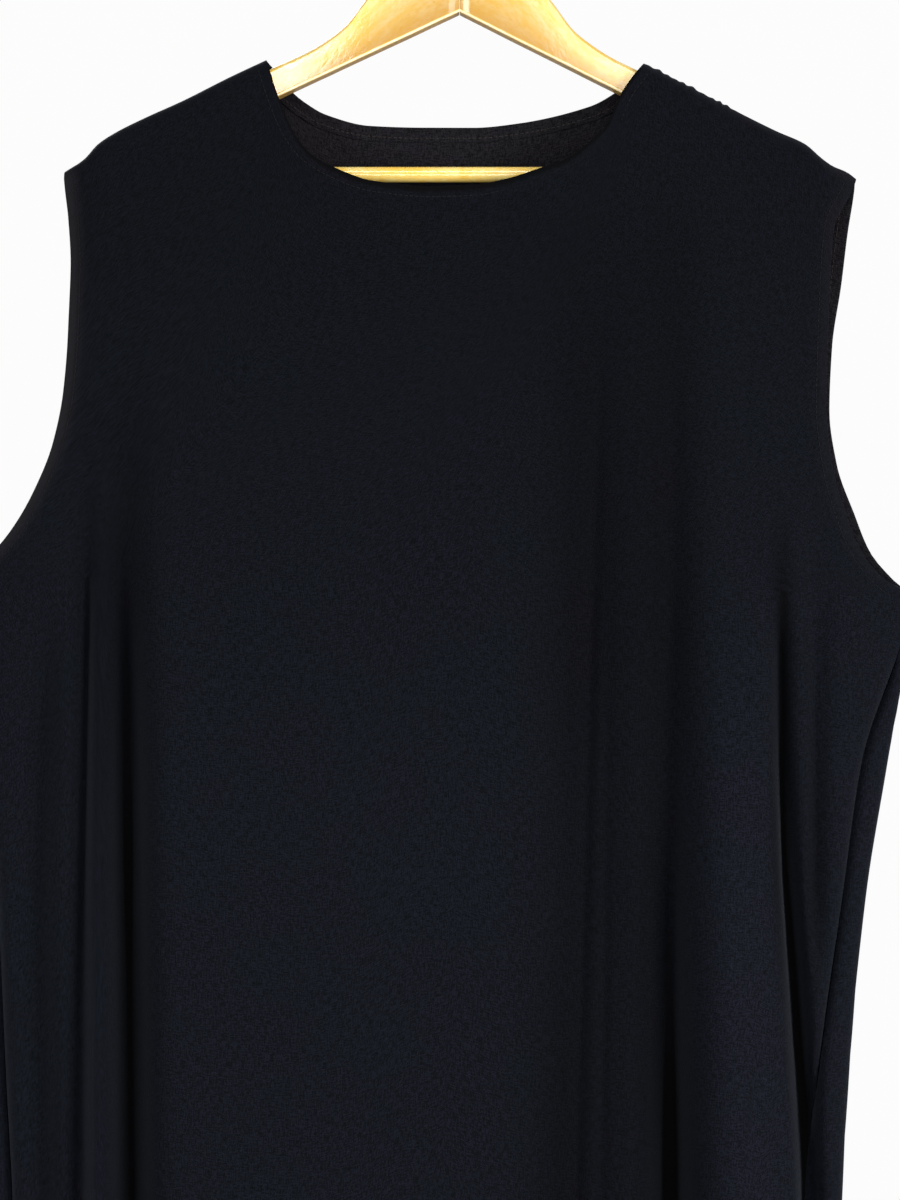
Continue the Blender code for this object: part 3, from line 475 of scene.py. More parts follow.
def upper_grid(side, base_x, base_z):
    """Rows from the top edge to the underarm. Columns lean over by an ease, so they leave the edge straight
    down and arrive straight down, along the folds. The armholes' bow is added at the sides and dies away
    towards the middle."""
    top_x, top_z, neck = top_edge(side, base_x)
    down = np.linspace(0, 1, UPPER_ROWS + 1)[:, None] ** UPPER_GATHER
    leant = ease(down)
    x = top_x + (base_x - top_x) * leant
    z = top_z + (base_z - top_z) * down
    across = (base_x - base_x[0]) / (base_x[-1] - base_x[0])
    for end, hem, fade in (("left", 0, (1 - across) ** BOW_FADE), ("right", -1, across**BOW_FADE)):
        bow = read(ARMHOLE, f"{NAMES[side]}_{end}", down) - (top_x[hem] + (base_x[hem] - top_x[hem]) * leant)
        x += bow[:, [hem]] * fade
    return x, face(x, z, side), z, neck


def panel_grid(side):
    """All rows of a panel, as points, and which columns end at the neckline."""
    known = np.stack([shares(side, -depth) for depth in COLUMN_DEPTHS])
    base_z = UNDERARM_LEFT + (UNDERARM_RIGHT - UNDERARM_LEFT) * (known[0] + 1) / 2
    base_x, _ = round_section(known[0], np.full_like(base_z, -UNDERARM), side)
    upper_x, upper_y, upper_z, neck = upper_grid(side, base_x, base_z)
    down = np.linspace(0, 1, LOWER_ROWS + 1)[1:, None] ** LOWER_GATHER
    lower_z = base_z + (-HEM - base_z) * down
    parted = [np.interp(-z, COLUMN_DEPTHS, places) for z, places in zip(lower_z.T, known.T)]
    lower_x, lower_y = round_section(np.stack(parted, axis=-1), lower_z, side)
    points = np.stack((
        np.concatenate((upper_x, lower_x)),
        np.concatenate((upper_y, lower_y)),
        np.concatenate((upper_z, lower_z)),
    ), axis=-1)
    shoulder = points[0, ~neck]
    shoulder[:, 1] = side * GAP / 2
    points[0, ~neck] = shoulder
    return points, neck


def normals(points, side):
    """Unit normals of a grid that runs down and across: the cross product of its differences, outwards."""
    normal = np.cross(np.gradient(points, axis=0), np.gradient(points, axis=1))
    return unit(normal) * -side


def edge_distance(points, neck):
    """Distance of each point from the neckline and from the armhole edges, along its column or row."""
    from_top = np.linalg.norm(points - points[:1], axis=-1)
    from_top[:, ~neck] = 1.0
    from_sides = np.minimum(
        np.linalg.norm(points - points[:, :1], axis=-1), np.linalg.norm(points - points[:, -1:], axis=-1))
    from_sides[UPPER_ROWS + 1:] = 1.0
    return np.minimum(from_top, from_sides)


def edge_brown_and_painted_light(points, neck):
    """How much the cloth is browned towards its sewn edges: a brown cast, and painted light where an edge
    catches light.
    """
    def mark(edge, amount):
        return amount * (1 - ease(np.linalg.norm(points - edge, axis=-1) / EDGE_MARKED))

    shoulders = np.where(points[:1, :, 0] < 0, LEFT_SHOULDER_MARK, RIGHT_SHOULDER_MARK)
    top = mark(points[:1], np.where(neck, NECK_MARK, shoulders))
    left, right = mark(points[:, :1], LEFT_MARK), mark(points[:, -1:], RIGHT_MARK)
    left[UPPER_ROWS + 1:] = right[UPPER_ROWS + 1:] = 0
    return np.maximum(top, np.maximum(left, right))


def wander(x, z, seed, wavelength):
    """Slow unevenness from -1 to 1 or so: a sum of sine waves across and, drawn out, down, with seeded turns,
    phases and lengths."""
    draw = np.random.default_rng(seed)
    total = np.zeros(np.broadcast(x, z).shape)
    for _ in range(WANDER_WAVES):
        turn, phase = draw.uniform(0, 2 * math.pi, 2)
        length = wavelength * draw.uniform(*WANDER_LENGTHS)
        along = x * math.cos(turn) + z * math.sin(turn) * WANDER_STRETCH
        total += np.sin(along * 2 * math.pi / length + phase)
    return total / math.sqrt(WANDER_WAVES)


def curl_at(x, z, distance):
    """How far an edge is drawn in, at a distance from it."""
    uneven = 1 + CURL_WANDER * wander(x, z, CURL_SEED, CURL_WAVE)
    return EDGE_CURL * uneven * (1 - ease(distance / EDGE_CURL_WIDTH))


def sewn(points, neck, side):
    """What sewing and wear add along the normal: edges drawn in, the puckered shoulder, uneven drape, and the
    faint groove of the hem's stitching."""
    x, z = points[..., 0], points[..., 2]
    below = ridge(x) - z
    drawn = ease((x - PUCKER_FROM) / PUCKER_IN) * ease((PUCKER_TO - x) / PUCKER_OUT)
    ripple = 0.5 + 0.5 * np.sin(2 * math.pi * x / PUCKER_PITCH + PUCKER_DRIFT * np.sin(x * PUCKER_DRIFTS))
    swell = (1 + PUCKER_LEAST) / 2 + (1 - PUCKER_LEAST) / 2 * np.sin(x * PUCKER_SWELL + 0.9)
    pucker = PUCKER_HEIGHT * drawn * ripple * swell * np.exp(-np.maximum(below, 0) / PUCKER_FADE)
    drape = DRAPE * wander(x, z, DRAPE_SEED[side], DRAPE_WAVE) * ease(below / DRAPE_FROM)
    turned = HEM_GROOVE * bell(z + HEM - HEM_STITCH, HEM_GROOVE_WIDTH)
    detail = pucker + drape - curl_at(x, z, edge_distance(points, neck)) - turned
    return points + normals(points, side) * detail[..., None]


def painted_fold_shade(points, neck, side):
    """Painted shade: how far a place lies in a fold, 1 where it is HOLLOW deep, and below 0 on a ridge, which
    is painted lighter. The painted shades are added, and the painted shade of the rolled neck edge."""
    x, z = points[..., 0], points[..., 2]
    deep = np.clip(folds(FOLDS[side], x, z, spread=HOLLOW_SPREAD) / HOLLOW, RIDGE_MOST, HOLLOW_MOST)
    rolled = 1 - ease(np.linalg.norm(points - points[:1], axis=-1) / NECK_SHADED)
    return deep + folds(SHADES[side], x, z) + NECK_SHADE * rolled * neck


# ---- Meshes ----
def give_uv(mesh, uv):
    """Writes a place on the flat cloth or wood, in metres, to each corner of the mesh."""
    corner = np.empty(len(mesh.loops), dtype=np.int32)
    mesh.loops.foreach_get("vertex_index", corner)
    layer = mesh.uv_layers.new(name="laid flat")
    layer.data.foreach_set("uv", uv[corner].astype(np.float32).ravel())


def add_piece(name, points, faces, uv, materials, inner_faces=0, **marks):
    """A mesh piece at the origin. The last `inner_faces` faces take the second material. Marks are its
    attributes, a number for each point."""
    mesh = bpy.data.meshes.new(name)
    mesh.from_pydata(points.tolist(), [], faces)
    give_uv(mesh, uv)
    for material in materials:
        mesh.materials.append(material)
    index = np.zeros(len(faces), dtype=np.int32)
    index[len(faces) - inner_faces:] = min(1, len(materials) - 1)
    mesh.polygons.foreach_set("material_index", index)
    for mark, values in marks.items():
        mesh.attributes.new(mark, "FLOAT", "POINT").data.foreach_set("value", values.astype(np.float32))
    mesh.shade_smooth()
    mesh.update()
    piece = bpy.data.objects.new(name, mesh)
    bpy.context.scene.collection.objects.link(piece)
    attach(piece, "root")
    return piece


def run_along(points, axis=0):
    """Arc length along an axis of points, from its start."""
    start = np.take(points, [0], axis=axis)
    return np.linalg.norm(np.diff(points, axis=axis, prepend=start), axis=-1).cumsum(axis=axis)


def laid_flat(points):
    """Arc length across from the middle column, and down each column, as if the piece were laid flat."""
    across = run_along(points, 1)
    return np.stack((across - across[:, [points.shape[1] // 2]], -run_along(points)), axis=-1)


def quads(grid):
    """Faces between the rows and columns of a grid of point numbers."""
    return np.stack((grid[:-1, :-1], grid[1:, :-1], grid[1:, 1:], grid[:-1, 1:]), axis=-1).reshape(-1, 4)


def unit(vectors):
    return vectors / np.linalg.norm(vectors, axis=-1, keepdims=True)


def shell(name, points, side, thickness, materials, **marks):
    """A cloth with thickness: the outer grid, an inner grid a thickness inwards, and between their edges a
    half round, whose outermost line is the outer grid's own edge."""
    rows, columns = points.shape[:2]
    out = normals(points, side).reshape(-1, 3)
    index = np.arange(rows * columns).reshape(rows, columns)
    loop = np.concatenate((index[0, :-1], index[:-1, -1], index[-1, :0:-1], index[:0:-1, 0]))
    away = np.zeros_like(points)
    for edge, beside in ((0, 1), (-1, -2)):
        away[edge] += points[edge] - points[beside]
        away[:, edge] += unit(points[:, edge] - points[:, beside]) * SIDE_WEIGHT
    away = unit(away.reshape(-1, 3)[loop])
    radius = thickness / 2
    outer = points.reshape(-1, 3).copy()
    outer[loop] -= away * radius
    middle = outer[loop] - out[loop] * radius
    rims = [middle + radius * (math.cos(turn) * out[loop] + math.sin(turn) * away) for turn in RIM]
    inner = outer - out * thickness
    first_inner = rows * columns + len(RIM) * len(loop)

    rings = [loop] + [rows * columns + k * len(loop) + np.arange(len(loop)) for k in range(len(RIM))]
    rings.append(first_inner + loop)
    faces = quads(index).tolist()
    for near, far in zip(rings, rings[1:]):
        faces += np.stack((near, np.roll(near, -1), np.roll(far, -1), far), axis=-1).tolist()
    # The inner faces are turned round, and parted along the same diagonals as the outer ones.
    inside = quads(first_inner + index)[:, [0, 3, 2, 1]].tolist()
    faces += inside
    if side == BACK:
        faces = [turned[::-1] for turned in faces]

    def with_rims(values):
        return np.concatenate((values, np.tile(values[loop], (len(RIM),) + (1,) * (values.ndim - 1)), values))

    uv = with_rims(laid_flat(points).reshape(-1, 2))
    marks = {mark: with_rims(values.ravel()) for mark, values in marks.items()}
    return add_piece(name, np.concatenate((outer, *rims, inner)), faces, uv, materials, len(inside), **marks)


# ---- Turned edges and stitches ----
def neckline(side):
    """Points of a neck edge in the plane of the hanger, from left to right, and which way is inwards."""
    fine = np.linspace(NECK_LEFT + NECK_TRIM, NECK_RIGHT - NECK_TRIM, NECK_SAMPLES)
    weight = np.hypot(1, np.gradient(read(NECKLINES[side], "height", fine), fine))
    across = even_steps(weight, fine, NECK_STEPS)
    return across, read(NECKLINES[side], "height", across), 1.0


def armhole(side, end):
    """The same for an armhole edge, from shoulder to underarm."""
    tip, underarm = (TIP_LEFT, UNDERARM_LEFT) if end == "left" else (TIP_RIGHT, UNDERARM_RIGHT)
    top = float(ridge(np.array(tip)))
    down = np.linspace(*ARMHOLE_SPAN, ARMHOLE_STEPS + 1)
    edge = read(ARMHOLE, f"{NAMES[side]}_{end}", down)
    return edge, top + (underarm - top) * down, -1.0 if end == "left" else 1.0


def beside(x, z, inwards, distance):
    """The line at a distance inside an edge: moved square to the edge's own run."""
    run, rise = np.gradient(x), np.gradient(z)
    length = np.hypot(run, rise)
    return x + rise / length * distance * inwards, z - run / length * distance * inwards


def lying(x, z, side, depth):
    """Points at a depth inside the outer face, along the face's own normal, taken from its slopes."""
    step = SLOPE_STEP
    slope_x = (face(x + step, z, side) - face(x - step, z, side)) / (2 * step)
    slope_z = (face(x, z + step, side) - face(x, z - step, side)) / (2 * step)
    normal = unit(np.stack((-slope_x, np.ones_like(x), -slope_z), axis=-1) * side)
    return np.stack((x, face(x, z, side), z), axis=-1) - normal * np.expand_dims(depth, -1), normal


def facing(name, edge, side, materials):
    """Strip turned to the inside along an edge: a grid of lines beside the edge, on the cloth's inner face.
    An armhole's lines are turned to run down, as a panel's columns do."""
    x, z, inwards = edge
    distance = np.linspace(FACING_FROM, FACING_WIDTH, FACING_STEPS + 1)[:, None]
    strip_x, strip_z = beside(x, z, inwards, distance)
    strip_z = np.minimum(strip_z, ridge(strip_x) - SHOULDER_CLEAR)
    points, _ = lying(strip_x, strip_z, side, CLOTH + FACING_GAP + curl_at(strip_x, strip_z, distance))
    if inwards < 0:
        points = points[:, ::-1]
    if name.startswith("armhole"):
        points = points.transpose(1, 0, 2)[:, ::-int(inwards)]
    return shell(name, points, side, FACING, materials)


def stitches(name, edge, side, depth, material):
    """A row of stitches beside an edge: spindles, round along their run as the root of 1 - t squared."""
    x, z, inwards = edge
    line_x, line_z = beside(x, z, inwards, STITCH_IN)
    line, normal = lying(line_x, line_z, side, depth + curl_at(line_x, line_z, STITCH_IN))
    length = run_along(line)

    def along(values, at):
        return np.stack([np.interp(at, length, values[:, k]) for k in range(3)], axis=-1)

    part = np.array(STITCH_PARTS)
    spindle = np.sqrt(np.clip(1 + STITCH_BLUNT - part**2, STITCH_BLUNT, 1)) * STITCH_RADIUS
    middles = np.arange(STITCH_PITCH, length[-1] - STITCH_PITCH / 2, STITCH_PITCH)[:, None]
    at = middles + part * STITCH_LENGTH / 2
    centre, out = along(line, at), along(normal, at)
    sideways = np.cross(out, unit(np.gradient(centre, axis=1)))
    turn = np.arange(STITCH_SIDES) * 2 * math.pi / STITCH_SIDES
    ring = np.cos(turn)[:, None] * sideways[:, :, None] + np.sin(turn)[:, None] * out[:, :, None]
    points = centre[:, :, None] + ring * spindle[:, None, None]
    index = np.arange(points[..., 0].size).reshape(points.shape[:3])
    beside_it = np.roll(index, -1, axis=2)
    faces = np.stack((index[:, :-1], beside_it[:, :-1], beside_it[:, 1:], index[:, 1:]), axis=-1)
    faces = faces.reshape(-1, 4).tolist() + index[:, 0, ::-1].tolist() + index[:, -1].tolist()
    uv = np.stack(np.broadcast_arrays(at[..., None], turn * STITCH_RADIUS), axis=-1)
    return add_piece(name, points.reshape(-1, 3), faces, uv.reshape(-1, 2), [material])


# ---- Hanger ----
def board_outline(top, bottom):
    """Cross-section of a hanger arm as (y, z): four quarter rounds joined by flats, each round led and
    followed by a point on its flat so that the flats shade flat. It runs from +Y over the top."""
    corners = []
    for corner, (y_sign, edge, size) in enumerate((
            (1, top, ROUND_TOP), (-1, top, ROUND_TOP),
            (-1, bottom, ROUND_BOTTOM), (1, bottom, ROUND_BOTTOM))):
        size = min(size, (top - bottom) / 2 * ROUND_MOST)
        turn = np.radians(np.linspace(0, 90, ROUND_STEPS + 1) + 90 * corner)
        centre = np.array((y_sign * (ARM_HALF - size), edge + (-size if edge == top else size)))
        arc = centre + size * np.stack((np.cos(turn), np.sin(turn)), axis=-1)
        lead = arc[0] - FLAT_LEAD * np.array((-math.sin(turn[0]), math.cos(turn[0])))
        follow = arc[-1] + FLAT_LEAD * np.array((-math.sin(turn[-1]), math.cos(turn[-1])))
        corners += [lead[None], arc, follow[None]]
    return np.concatenate(corners)


def tube(name, rings, uv, materials, flip=False, **marks):
    """A closed skin over rings of points, with flat ends."""
    count, sides = rings.shape[:2]
    index = np.arange(count * sides).reshape(count, sides)
    near, far = index, np.roll(index, -1, axis=1)
    faces = np.stack((near[:-1], near[1:], far[1:], far[:-1]), axis=-1).reshape(-1, 4).tolist()
    faces += [index[0].tolist(), index[-1][::-1].tolist()]
    if flip:
        faces = [turned[::-1] for turned in faces]
    return add_piece(name, rings.reshape(-1, 3), faces, uv.reshape(-1, 2), materials, **marks)


def hanger_arm(name, hand, materials):
    """A shaped board: its outline carried out from the middle joint, between the top and bottom edges of the
    table, thinner at the tip and leaning with the whole hanger. It thins by (1 - t) squared at the joint."""
    end = ARM["out"][-1]
    outs = end * np.sin(np.linspace(0, 1, ARM_STATIONS + 1) * math.pi / 2)
    outs = np.union1d(outs, np.linspace(0, JOINT_ROUND, JOINT_STATIONS))
    tops, bottoms = read(ARM, "top", outs), read(ARM, "bottom", outs)
    flat = np.stack([board_outline(float(top), float(bottom)) for top, bottom in zip(tops, bottoms)])
    x = hand * np.maximum(outs, JOINT / 2)[:, None] * np.ones(flat.shape[1])
    sanded = JOINT_DEPTH / ARM_HALF * np.clip(1 - outs / JOINT_ROUND, 0, 1) ** 2
    thin = (1 - TIP_THIN * ease((outs - TIP_THIN_FROM) / TIP_THIN_OVER) - sanded)[:, None]
    rings = np.stack((x, flat[..., 0] * thin, flat[..., 1] - LEAN * x), axis=-1)
    middle = ((tops + bottoms) / 2)[:, None]
    run = hand * (run_along(np.stack((outs, middle[:, 0]), axis=-1)) + GRAIN_START)[:, None]
    across = flat[..., 1] - middle + flat[..., 0] * GRAIN_TURNED
    uv = np.stack(np.broadcast_arrays(run, across), axis=-1)
    # Stain along the upper edges; along the lower edge stain, a painted reflection on the bevel and painted
    # shade on the underside.
    wear = np.broadcast_to(np.concatenate((STAINED[::-1], STAINED, LOWER_STAIN_AND_PAINTED_LIGHT, LOWER_STAIN_AND_PAINTED_LIGHT[::-1])), x.shape)
    return tube(name, rings, uv, materials, flip=hand < 0, wear=wear.ravel())


def hanger_bar(materials):
    """A turned bar: rings along X whose radius steps down in a small round to the tenon at each end."""
    tip, step = TENON_TIP["inwards"], BAR_STEP["inwards"]
    left = np.concatenate((tip - TENON_END, BAR_LEFT + step))
    right = np.concatenate((TENON_END - tip, BAR_RIGHT - step))
    plain = np.linspace(left[-1], right[-1], BAR_PLAIN + 2)[1:-1]
    ends = np.concatenate((TENON_TIP["radius"], BAR_STEP["radius"]))
    radius = np.concatenate((ends, np.full(BAR_PLAIN, BAR_RADIUS), ends[::-1]))[:, None]
    turn = np.arange(BAR_SIDES) * 2 * math.pi / BAR_SIDES
    across = np.concatenate((left, plain, right[::-1]))[:, None] * np.ones(BAR_SIDES)
    rings = np.stack((across, radius * np.cos(turn), BAR_HEIGHT + radius * np.sin(turn)), axis=-1)
    uv = np.stack(np.broadcast_arrays(across + BAR_GRAIN_START, turn * BAR_RADIUS * GRAIN_TURNED), axis=-1)
    return tube("trouser_bar", rings, uv, materials)


def hook_line():
    """Up the shank, out in a cubic bend to the foot of the bow, and round the bow to its open end."""
    centre = np.array((0, -BOW))
    reach = BOW + WIRE

    def on_bow(angle):
        return centre + reach * np.stack((np.cos(angle), np.sin(angle)), axis=-1)

    foot, start = np.array((0, SHANK_TOP)), on_bow(BOW_FROM)
    heading = np.array((-math.sin(BOW_FROM), math.cos(BOW_FROM)))
    part = np.linspace(0, 1, BEND_STEPS)[:-1, None]
    bend = (
        (1 - part) ** 3 * foot
        + 3 * part * (1 - part) ** 2 * (foot + (0, BEND_PULL))
        + 3 * part**2 * (1 - part) * (start - heading * BEND_PULL)
        + part**3 * start
    )
    shank = np.linspace((0, SHANK_FOOT), (0, SHANK_TOP), SHANK_STEPS + 1)[:-1]
    return np.concatenate((shank, bend, on_bow(np.linspace(BOW_FROM, BOW_TO, BOW_STEPS))))


def hanger_hook(materials):
    """Round wire carried along the hook's line, with a rounded end."""
    line = hook_line()
    run, length = unit(np.gradient(line, axis=0)), run_along(line)
    left = np.clip((length[-1] - length) / WIRE, 0, 1)
    radius = WIRE * np.maximum(np.sqrt(1 - (1 - left) ** 2), WIRE_TIP)[:, None]
    turn = np.arange(WIRE_SIDES) * 2 * math.pi / WIRE_SIDES
    x = line[:, :1] + radius * np.cos(turn) * run[:, 1:]
    z = line[:, 1:] - radius * np.cos(turn) * run[:, :1]
    rings = np.stack((x, radius * np.sin(turn), z), axis=-1)
    uv = np.stack(np.broadcast_arrays(length[:, None], turn * WIRE), axis=-1)
    return tube("steel_hook", rings, uv, materials, flip=True)


# ---- Materials ----
def linear(code):
    """An sRGB hex colour as linear red, green, blue and alpha."""
    part = np.array([int(code[k:k + 2], 16) for k in (1, 3, 5)]) / 255
    low, high = part / 12.92, ((part + 0.055) / 1.055) ** 2.4
    return (*np.where(part <= 0.04045, low, high).tolist(), 1.0)


def put(tree, kind, inputs, **settings):
    """Adds one node with its settings. Each input, by name or number, is a value or a socket to link."""
    made = tree.nodes.new("ShaderNode" + kind)
    for name, value in settings.items():
        setattr(made, name, value)
    for name, value in inputs.items():
        if isinstance(value, bpy.types.NodeSocket):
            tree.links.new(value, made.inputs[name])
        else:
            made.inputs[name].default_value = value
    return made


def start(name):
    """An empty node material and its tree."""
    material = bpy.data.materials.new(name)
    material.use_nodes = True
    material.node_tree.nodes.clear()
    return material, material.node_tree


def surface(tree, inputs):
    """The material's one shader, joined to its output."""
    put(tree, "OutputMaterial", {"Surface": put(tree, "BsdfPrincipled", inputs).outputs[0]})


def flat_place(tree):
    """The place on the piece laid flat, in metres."""
    return put(tree, "UVMap", {}, uv_map="laid flat").outputs["UV"]


def marked(tree, name):
    """The number that a mesh carries at its points."""
    return put(tree, "Attribute", {}, attribute_name=name).outputs["Fac"]


def noise(tree, place, along, across, **inputs):
    """A cloudy noise, stretched to repeat so often in a metre along and across."""
    stretched = put(tree, "Mapping", {"Vector": place, "Scale": (along, across, 1)}).outputs[0]
    return put(tree, "TexNoise", {"Vector": stretched, "Scale": 1.0, **inputs}).outputs["Fac"]


def passing(tree, value, low, high, least=0.0, most=1.0):
    """From `least` to `most` as a value goes from low to high."""
    return put(tree, "MapRange", {
        "Value": value, "From Min": low, "From Max": high, "To Min": least, "To Max": most}).outputs[0]


def maths(tree, operation, *inputs):
    return put(tree, "Math", dict(enumerate(inputs)), operation=operation).outputs[0]


def mixed(tree, share, first, second, **settings):
    """A colour between two, by a share."""
    return put(tree, "Mix", {0: share, 6: first, 7: second}, data_type="RGBA", **settings).outputs[2]


def crepe(name, deep, lit, brown, seed):
    """Polyester crepe, woven of hard-twisted yarns in black-navy dye: matt, with a fine pebble of crossed
    yarns, a faint sheen at grazing angles, and a browner cast where edges were turned and pressed, which also
    carries painted light on lit edges. Painted shade darkens its folds, its rolled neck edge and its chest,
    and painted light lightens its ridges."""
    material, tree = start(name)
    # A yarn is 0.35 mm wide in such crepe. It is drawn 0.9 mm wide so that it shows in the render.
    yarn = 1 / 0.0009
    woven = put(tree, "Mapping", {
        "Vector": flat_place(tree), "Location": (seed,) * 3, "Scale": (yarn, yarn * 0.8, 1)}).outputs[0]
    pebble = put(tree, "TexNoise", {
        "Vector": woven, "Scale": 1.0, "Detail": 2.0, "Roughness": 0.62, "Distortion": 0.3}).outputs["Fac"]
    long_yarn = noise(tree, woven, 1.6, 0.22, Detail=1.0)
    cross_yarn = noise(tree, woven, 0.22, 1.8, Detail=1.0)
    height = maths(tree, "MULTIPLY_ADD", pebble, 1.2, maths(tree, "ADD", long_yarn, cross_yarn))
    cloth = mixed(tree, passing(tree, height, 1.42, 1.78), linear(deep), linear(lit))
    # Painted shade: the fold mark mixes the cloth towards near-black in folds and at the rolled neck edge,
    # and lightens it on ridges. The chest is painted darker towards the top.
    place = put(tree, "TexCoord", {}).outputs["Object"]
    chest = passing(tree, put(tree, "SeparateXYZ", {0: place}).outputs["Z"], -0.54, -0.24, 0.05, 0.40)
    painted_shade = maths(tree, "MINIMUM", maths(tree, "MULTIPLY_ADD", marked(tree, "fold"), 0.30, chest), 0.92)
    shade_painted_cloth = mixed(tree, painted_shade, cloth, linear("#020202"), clamp_factor=False)
    # The dye drifts between blue and purple, over some 50 mm.
    drift = put(tree, "TexNoise", {"Vector": place, "Scale": 20.0, "Detail": 2.0}).outputs["Fac"]
    purple = mixed(tree, 1.0, shade_painted_cloth, (1.22, 0.90, 1.02, 1.0), blend_type="MULTIPLY")
    shifted = mixed(tree, passing(tree, drift, 0.35, 0.65, 0.0, 0.55), shade_painted_cloth, purple)
    # The edge mark mixes in a brown cast, which is partly painted light on lit edges.
    surface(tree, {
        "Base Color": mixed(tree, marked(tree, "edge"), shifted, linear(brown)),
        "Normal": put(tree, "Bump", {"Height": height, "Strength": 0.5, "Distance": 0.00025}).outputs[0],
        "Roughness": 0.8, "IOR": 1.45, "Specular IOR Level": 0.038, "Sheen Weight": 0.070,
        "Sheen Roughness": 0.45, "Sheen Tint": linear("#c9d2e6")})
    return material


def thread(name, dark, light):
    """Polyester sewing thread: smoother than the crepe, so it catches more light, in fine twisted strands."""
    material, tree = start(name)
    place = put(tree, "Mapping", {
        "Vector": flat_place(tree), "Rotation": (0, 0, 0.6), "Scale": (900, 900, 1)}).outputs[0]
    twist = put(tree, "TexWave", {"Vector": place, "Scale": 1.0}).outputs["Fac"]
    surface(tree, {
        "Base Color": mixed(tree, twist, linear(dark), linear(light)), "Roughness": 0.7,
        "Specular IOR Level": 0.12, "Sheen Weight": 0.05})
    return material


def maple(name, pale, honey, brown):
    """Maple under honey-coloured varnish: mottled, with long soft grain streaks and fine darker flecks, a
    smooth coat that holds soft highlights, stain lines along its edges, a painted reflection on the lower
    bevels and painted shade on the undersides."""
    material, tree = start(name)
    flat = flat_place(tree)
    # Growth streaks are 4 mm wide and some 60 mm long, blotches of varnish 12 to 25 mm, mottles 3 to 5 mm,
    # and flecks 0.4 mm wide and 4 mm long.
    streaks = passing(tree, noise(tree, flat, 16, 240, Detail=3.0, Distortion=0.6), 0.30, 0.70, 0.0, 0.5)
    blotches = passing(tree, noise(tree, flat, 48, 80, Detail=2.0), 0.40, 0.62, 0.0, 0.95)
    mottles = passing(tree, noise(tree, flat, 210, 320, Detail=2.0), 0.40, 0.64, 0.0, 0.6)
    flecks = passing(tree, noise(tree, flat, 240, 2300, Detail=1.0), 0.60, 0.74, 0.0, 0.4)
    colour = mixed(tree, blotches, linear(pale), linear(honey))
    wear = marked(tree, "wear")
    # Above 0 the mark paints a pale reflection on the lower bevel; below 0 it is stain, and painted shade on
    # the underside.
    painted_bevel_reflection, stain_and_painted_shade = passing(tree, wear, 0, 1, 0, 0.75), passing(tree, wear, 0, -1)
    for share, tone in (
            (streaks, pale), (mottles, honey), (flecks, brown), (painted_bevel_reflection, "#fff2d8"), (stain_and_painted_shade, brown)):
        colour = mixed(tree, share, colour, linear(tone))
    bump = put(tree, "Bump", {"Height": mottles, "Strength": 0.03, "Distance": 0.0004})
    surface(tree, {
        "Base Color": colour, "Roughness": 0.42, "IOR": 1.5, "Specular IOR Level": 0.15, "Coat Weight": 1.0,
        "Coat Roughness": 0.07, "Coat IOR": 1.5, "Coat Normal": bump.outputs[0]})
    return material


def plated_steel():
    """Nickel-plated steel wire: bright metal, drawn along its length, so highlights run in thin lines."""
    material, tree = start("nickel-plated steel wire")
    drawn = noise(tree, flat_place(tree), 60, 5200)
    surface(tree, {
        "Base Color": mixed(tree, drawn, linear("#b9b9bd"), linear("#dcdcde")), "Metallic": 1.0,
        "Roughness": passing(tree, drawn, 0.0, 1.0, 0.16, 0.34)})
    return material


# ---- Making the pieces ----
outside = crepe("black-navy crepe, right side", "#070a0d", "#13161e", "#242224", 0.0)
# The wrong side is drawn lighter than the right side, as painted light on the inside faces.
inside = crepe("black-navy crepe, wrong side", "#121215", "#27272b", "#262423", 3.0)
outer_thread = thread("twisted sewing thread, right side", "#08090c", "#141519")
inner_thread = thread("twisted sewing thread, wrong side", "#1d1917", "#352e2b")
board = maple("varnished maple board", "#ffeba4", "#fbd25a", "#b07626")
rod = maple("varnished maple rod", "#ffe48c", "#fbca50", "#cf9a40")
wire = plated_steel()

for side, label in NAMES.items():
    grid, in_neck = panel_grid(side)
    # The fold mark is painted shade; the edge mark is a brown cast with painted light.
    shell(
        f"{label}_cloth", sewn(grid, in_neck, side), side, CLOTH, [outside, inside],
        edge=edge_brown_and_painted_light(grid, in_neck), fold=painted_fold_shade(grid, in_neck, side))
    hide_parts(label)

trimmings = {"front": [], "back": []}
for side, label in NAMES.items():
    edges = (
        ("neck", "neck_facing", neckline(side)),
        ("armhole_left", "armhole_facing_left", armhole(side, "left")),
        ("armhole_right", "armhole_facing_right", armhole(side, "right")),
    )
    for place, node, line in edges:
        strip = facing(f"{place}_{label}_facing", line, side, [inside])
        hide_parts(f"{node}_{label}")
        trimmings[label].append(strip)
        for ending, depth, colour in (
                ("stitches", -STITCH_PROUD, outer_thread),
                ("stitches_inside", CLOTH + FACING_GAP + FACING + STITCH_PROUD, inner_thread)):
            row = stitches(f"{place}_{label}_{ending}", line, side, depth, colour)
            trimmings[label].append(row)

arms = [hanger_arm(f"maple_arm_{end}", hand, [board]) for end, hand in (("left", -1), ("right", 1))]
hanger = (
    (arms[0], "hanger_arm_left", "maple"),
    (arms[1], "hanger_arm_right", "maple"),
    (hanger_bar([rod]), "hanger_bar", "maple"),
    (hanger_hook([wire]), "hanger_hook", "steel"),
)
for piece, node, slot in hanger:
    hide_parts(node)

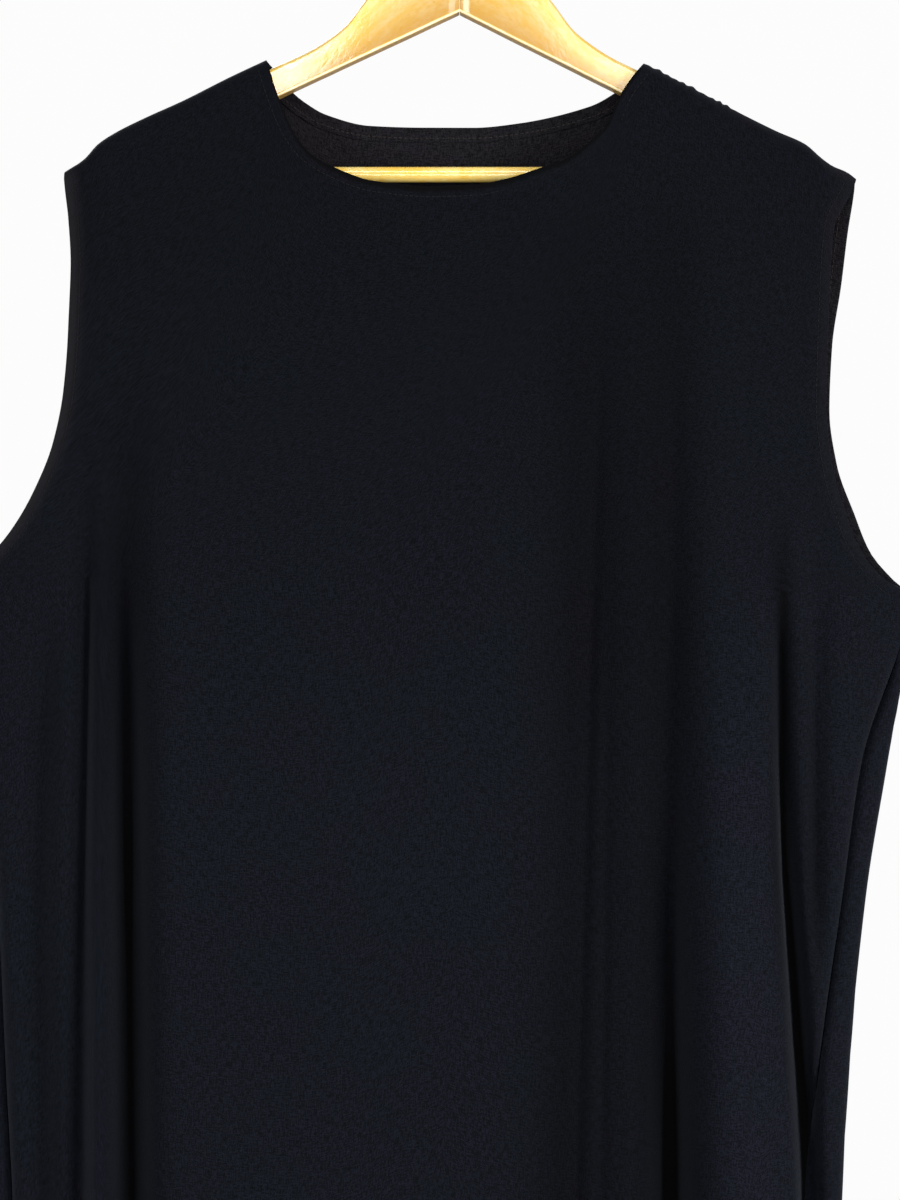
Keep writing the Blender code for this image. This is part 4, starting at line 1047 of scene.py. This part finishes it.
# ---- Stage ----
floor_mesh = bpy.data.meshes.new("floor")
floor_turn = np.arange(FLOOR_SIDES) * 2 * math.pi / FLOOR_SIDES
floor_rim = np.stack((np.cos(floor_turn), np.sin(floor_turn), np.ones(FLOOR_SIDES)), axis=-1)
floor_rim *= (FLOOR_REACH, FLOOR_REACH, FLOOR_HEIGHT)
floor_mesh.from_pydata(floor_rim.tolist(), [], [list(range(FLOOR_SIDES))])
floor = bpy.data.objects.new("floor", floor_mesh)
bpy.context.scene.collection.objects.link(floor)
floor_material, floor_tree = start("pale matt floor")
surface(floor_tree, {"Base Color": linear("#e9e9ea"), "Roughness": 0.9})
floor_mesh.materials.append(floor_material)

for light in LIGHTS:  # square area lights, each turned to a point
    lamp = bpy.data.lights.new(light.name, "AREA")
    lamp.size, lamp.energy = light.size, light.watts
    holder = bpy.data.objects.new(light.name, lamp)
    holder.location = light.at
    holder.rotation_euler = (Vector(light.towards) - Vector(light.at)).to_track_quat("-Z", "Y").to_euler()
    bpy.context.scene.collection.objects.link(holder)

# The world is the photograph's near-white backdrop where it is seen, and gives a weaker even light.
world = bpy.data.worlds.new("pale room")
bpy.context.scene.world = world
world.use_nodes = True
sky = world.node_tree
sky.nodes.clear()
seen = put(sky, "Background", {"Color": linear("#fcfcfc"), "Strength": 1.0})
even_light = put(sky, "Background", {"Color": linear("#fcfcfc"), "Strength": ROOM_STRENGTH})
which = put(sky, "MixShader", {
    0: put(sky, "LightPath", {}).outputs["Is Camera Ray"], 1: even_light.outputs[0], 2: seen.outputs[0]})
put(sky, "OutputWorld", {"Surface": which.outputs[0]})

view = bpy.context.scene.view_settings
view.view_transform = "Standard"
view.look = "None"

lens = bpy.data.cameras.new("camera")
lens.sensor_width = SENSOR
lens.lens = SENSOR * -CAMERA_AT[1] / VIEW_HEIGHT
camera = bpy.data.objects.new("camera", lens)
camera.location = CAMERA_AT
camera.rotation_euler = (math.pi / 2, 0, 0)
bpy.context.scene.collection.objects.link(camera)
bpy.context.scene.camera = camera
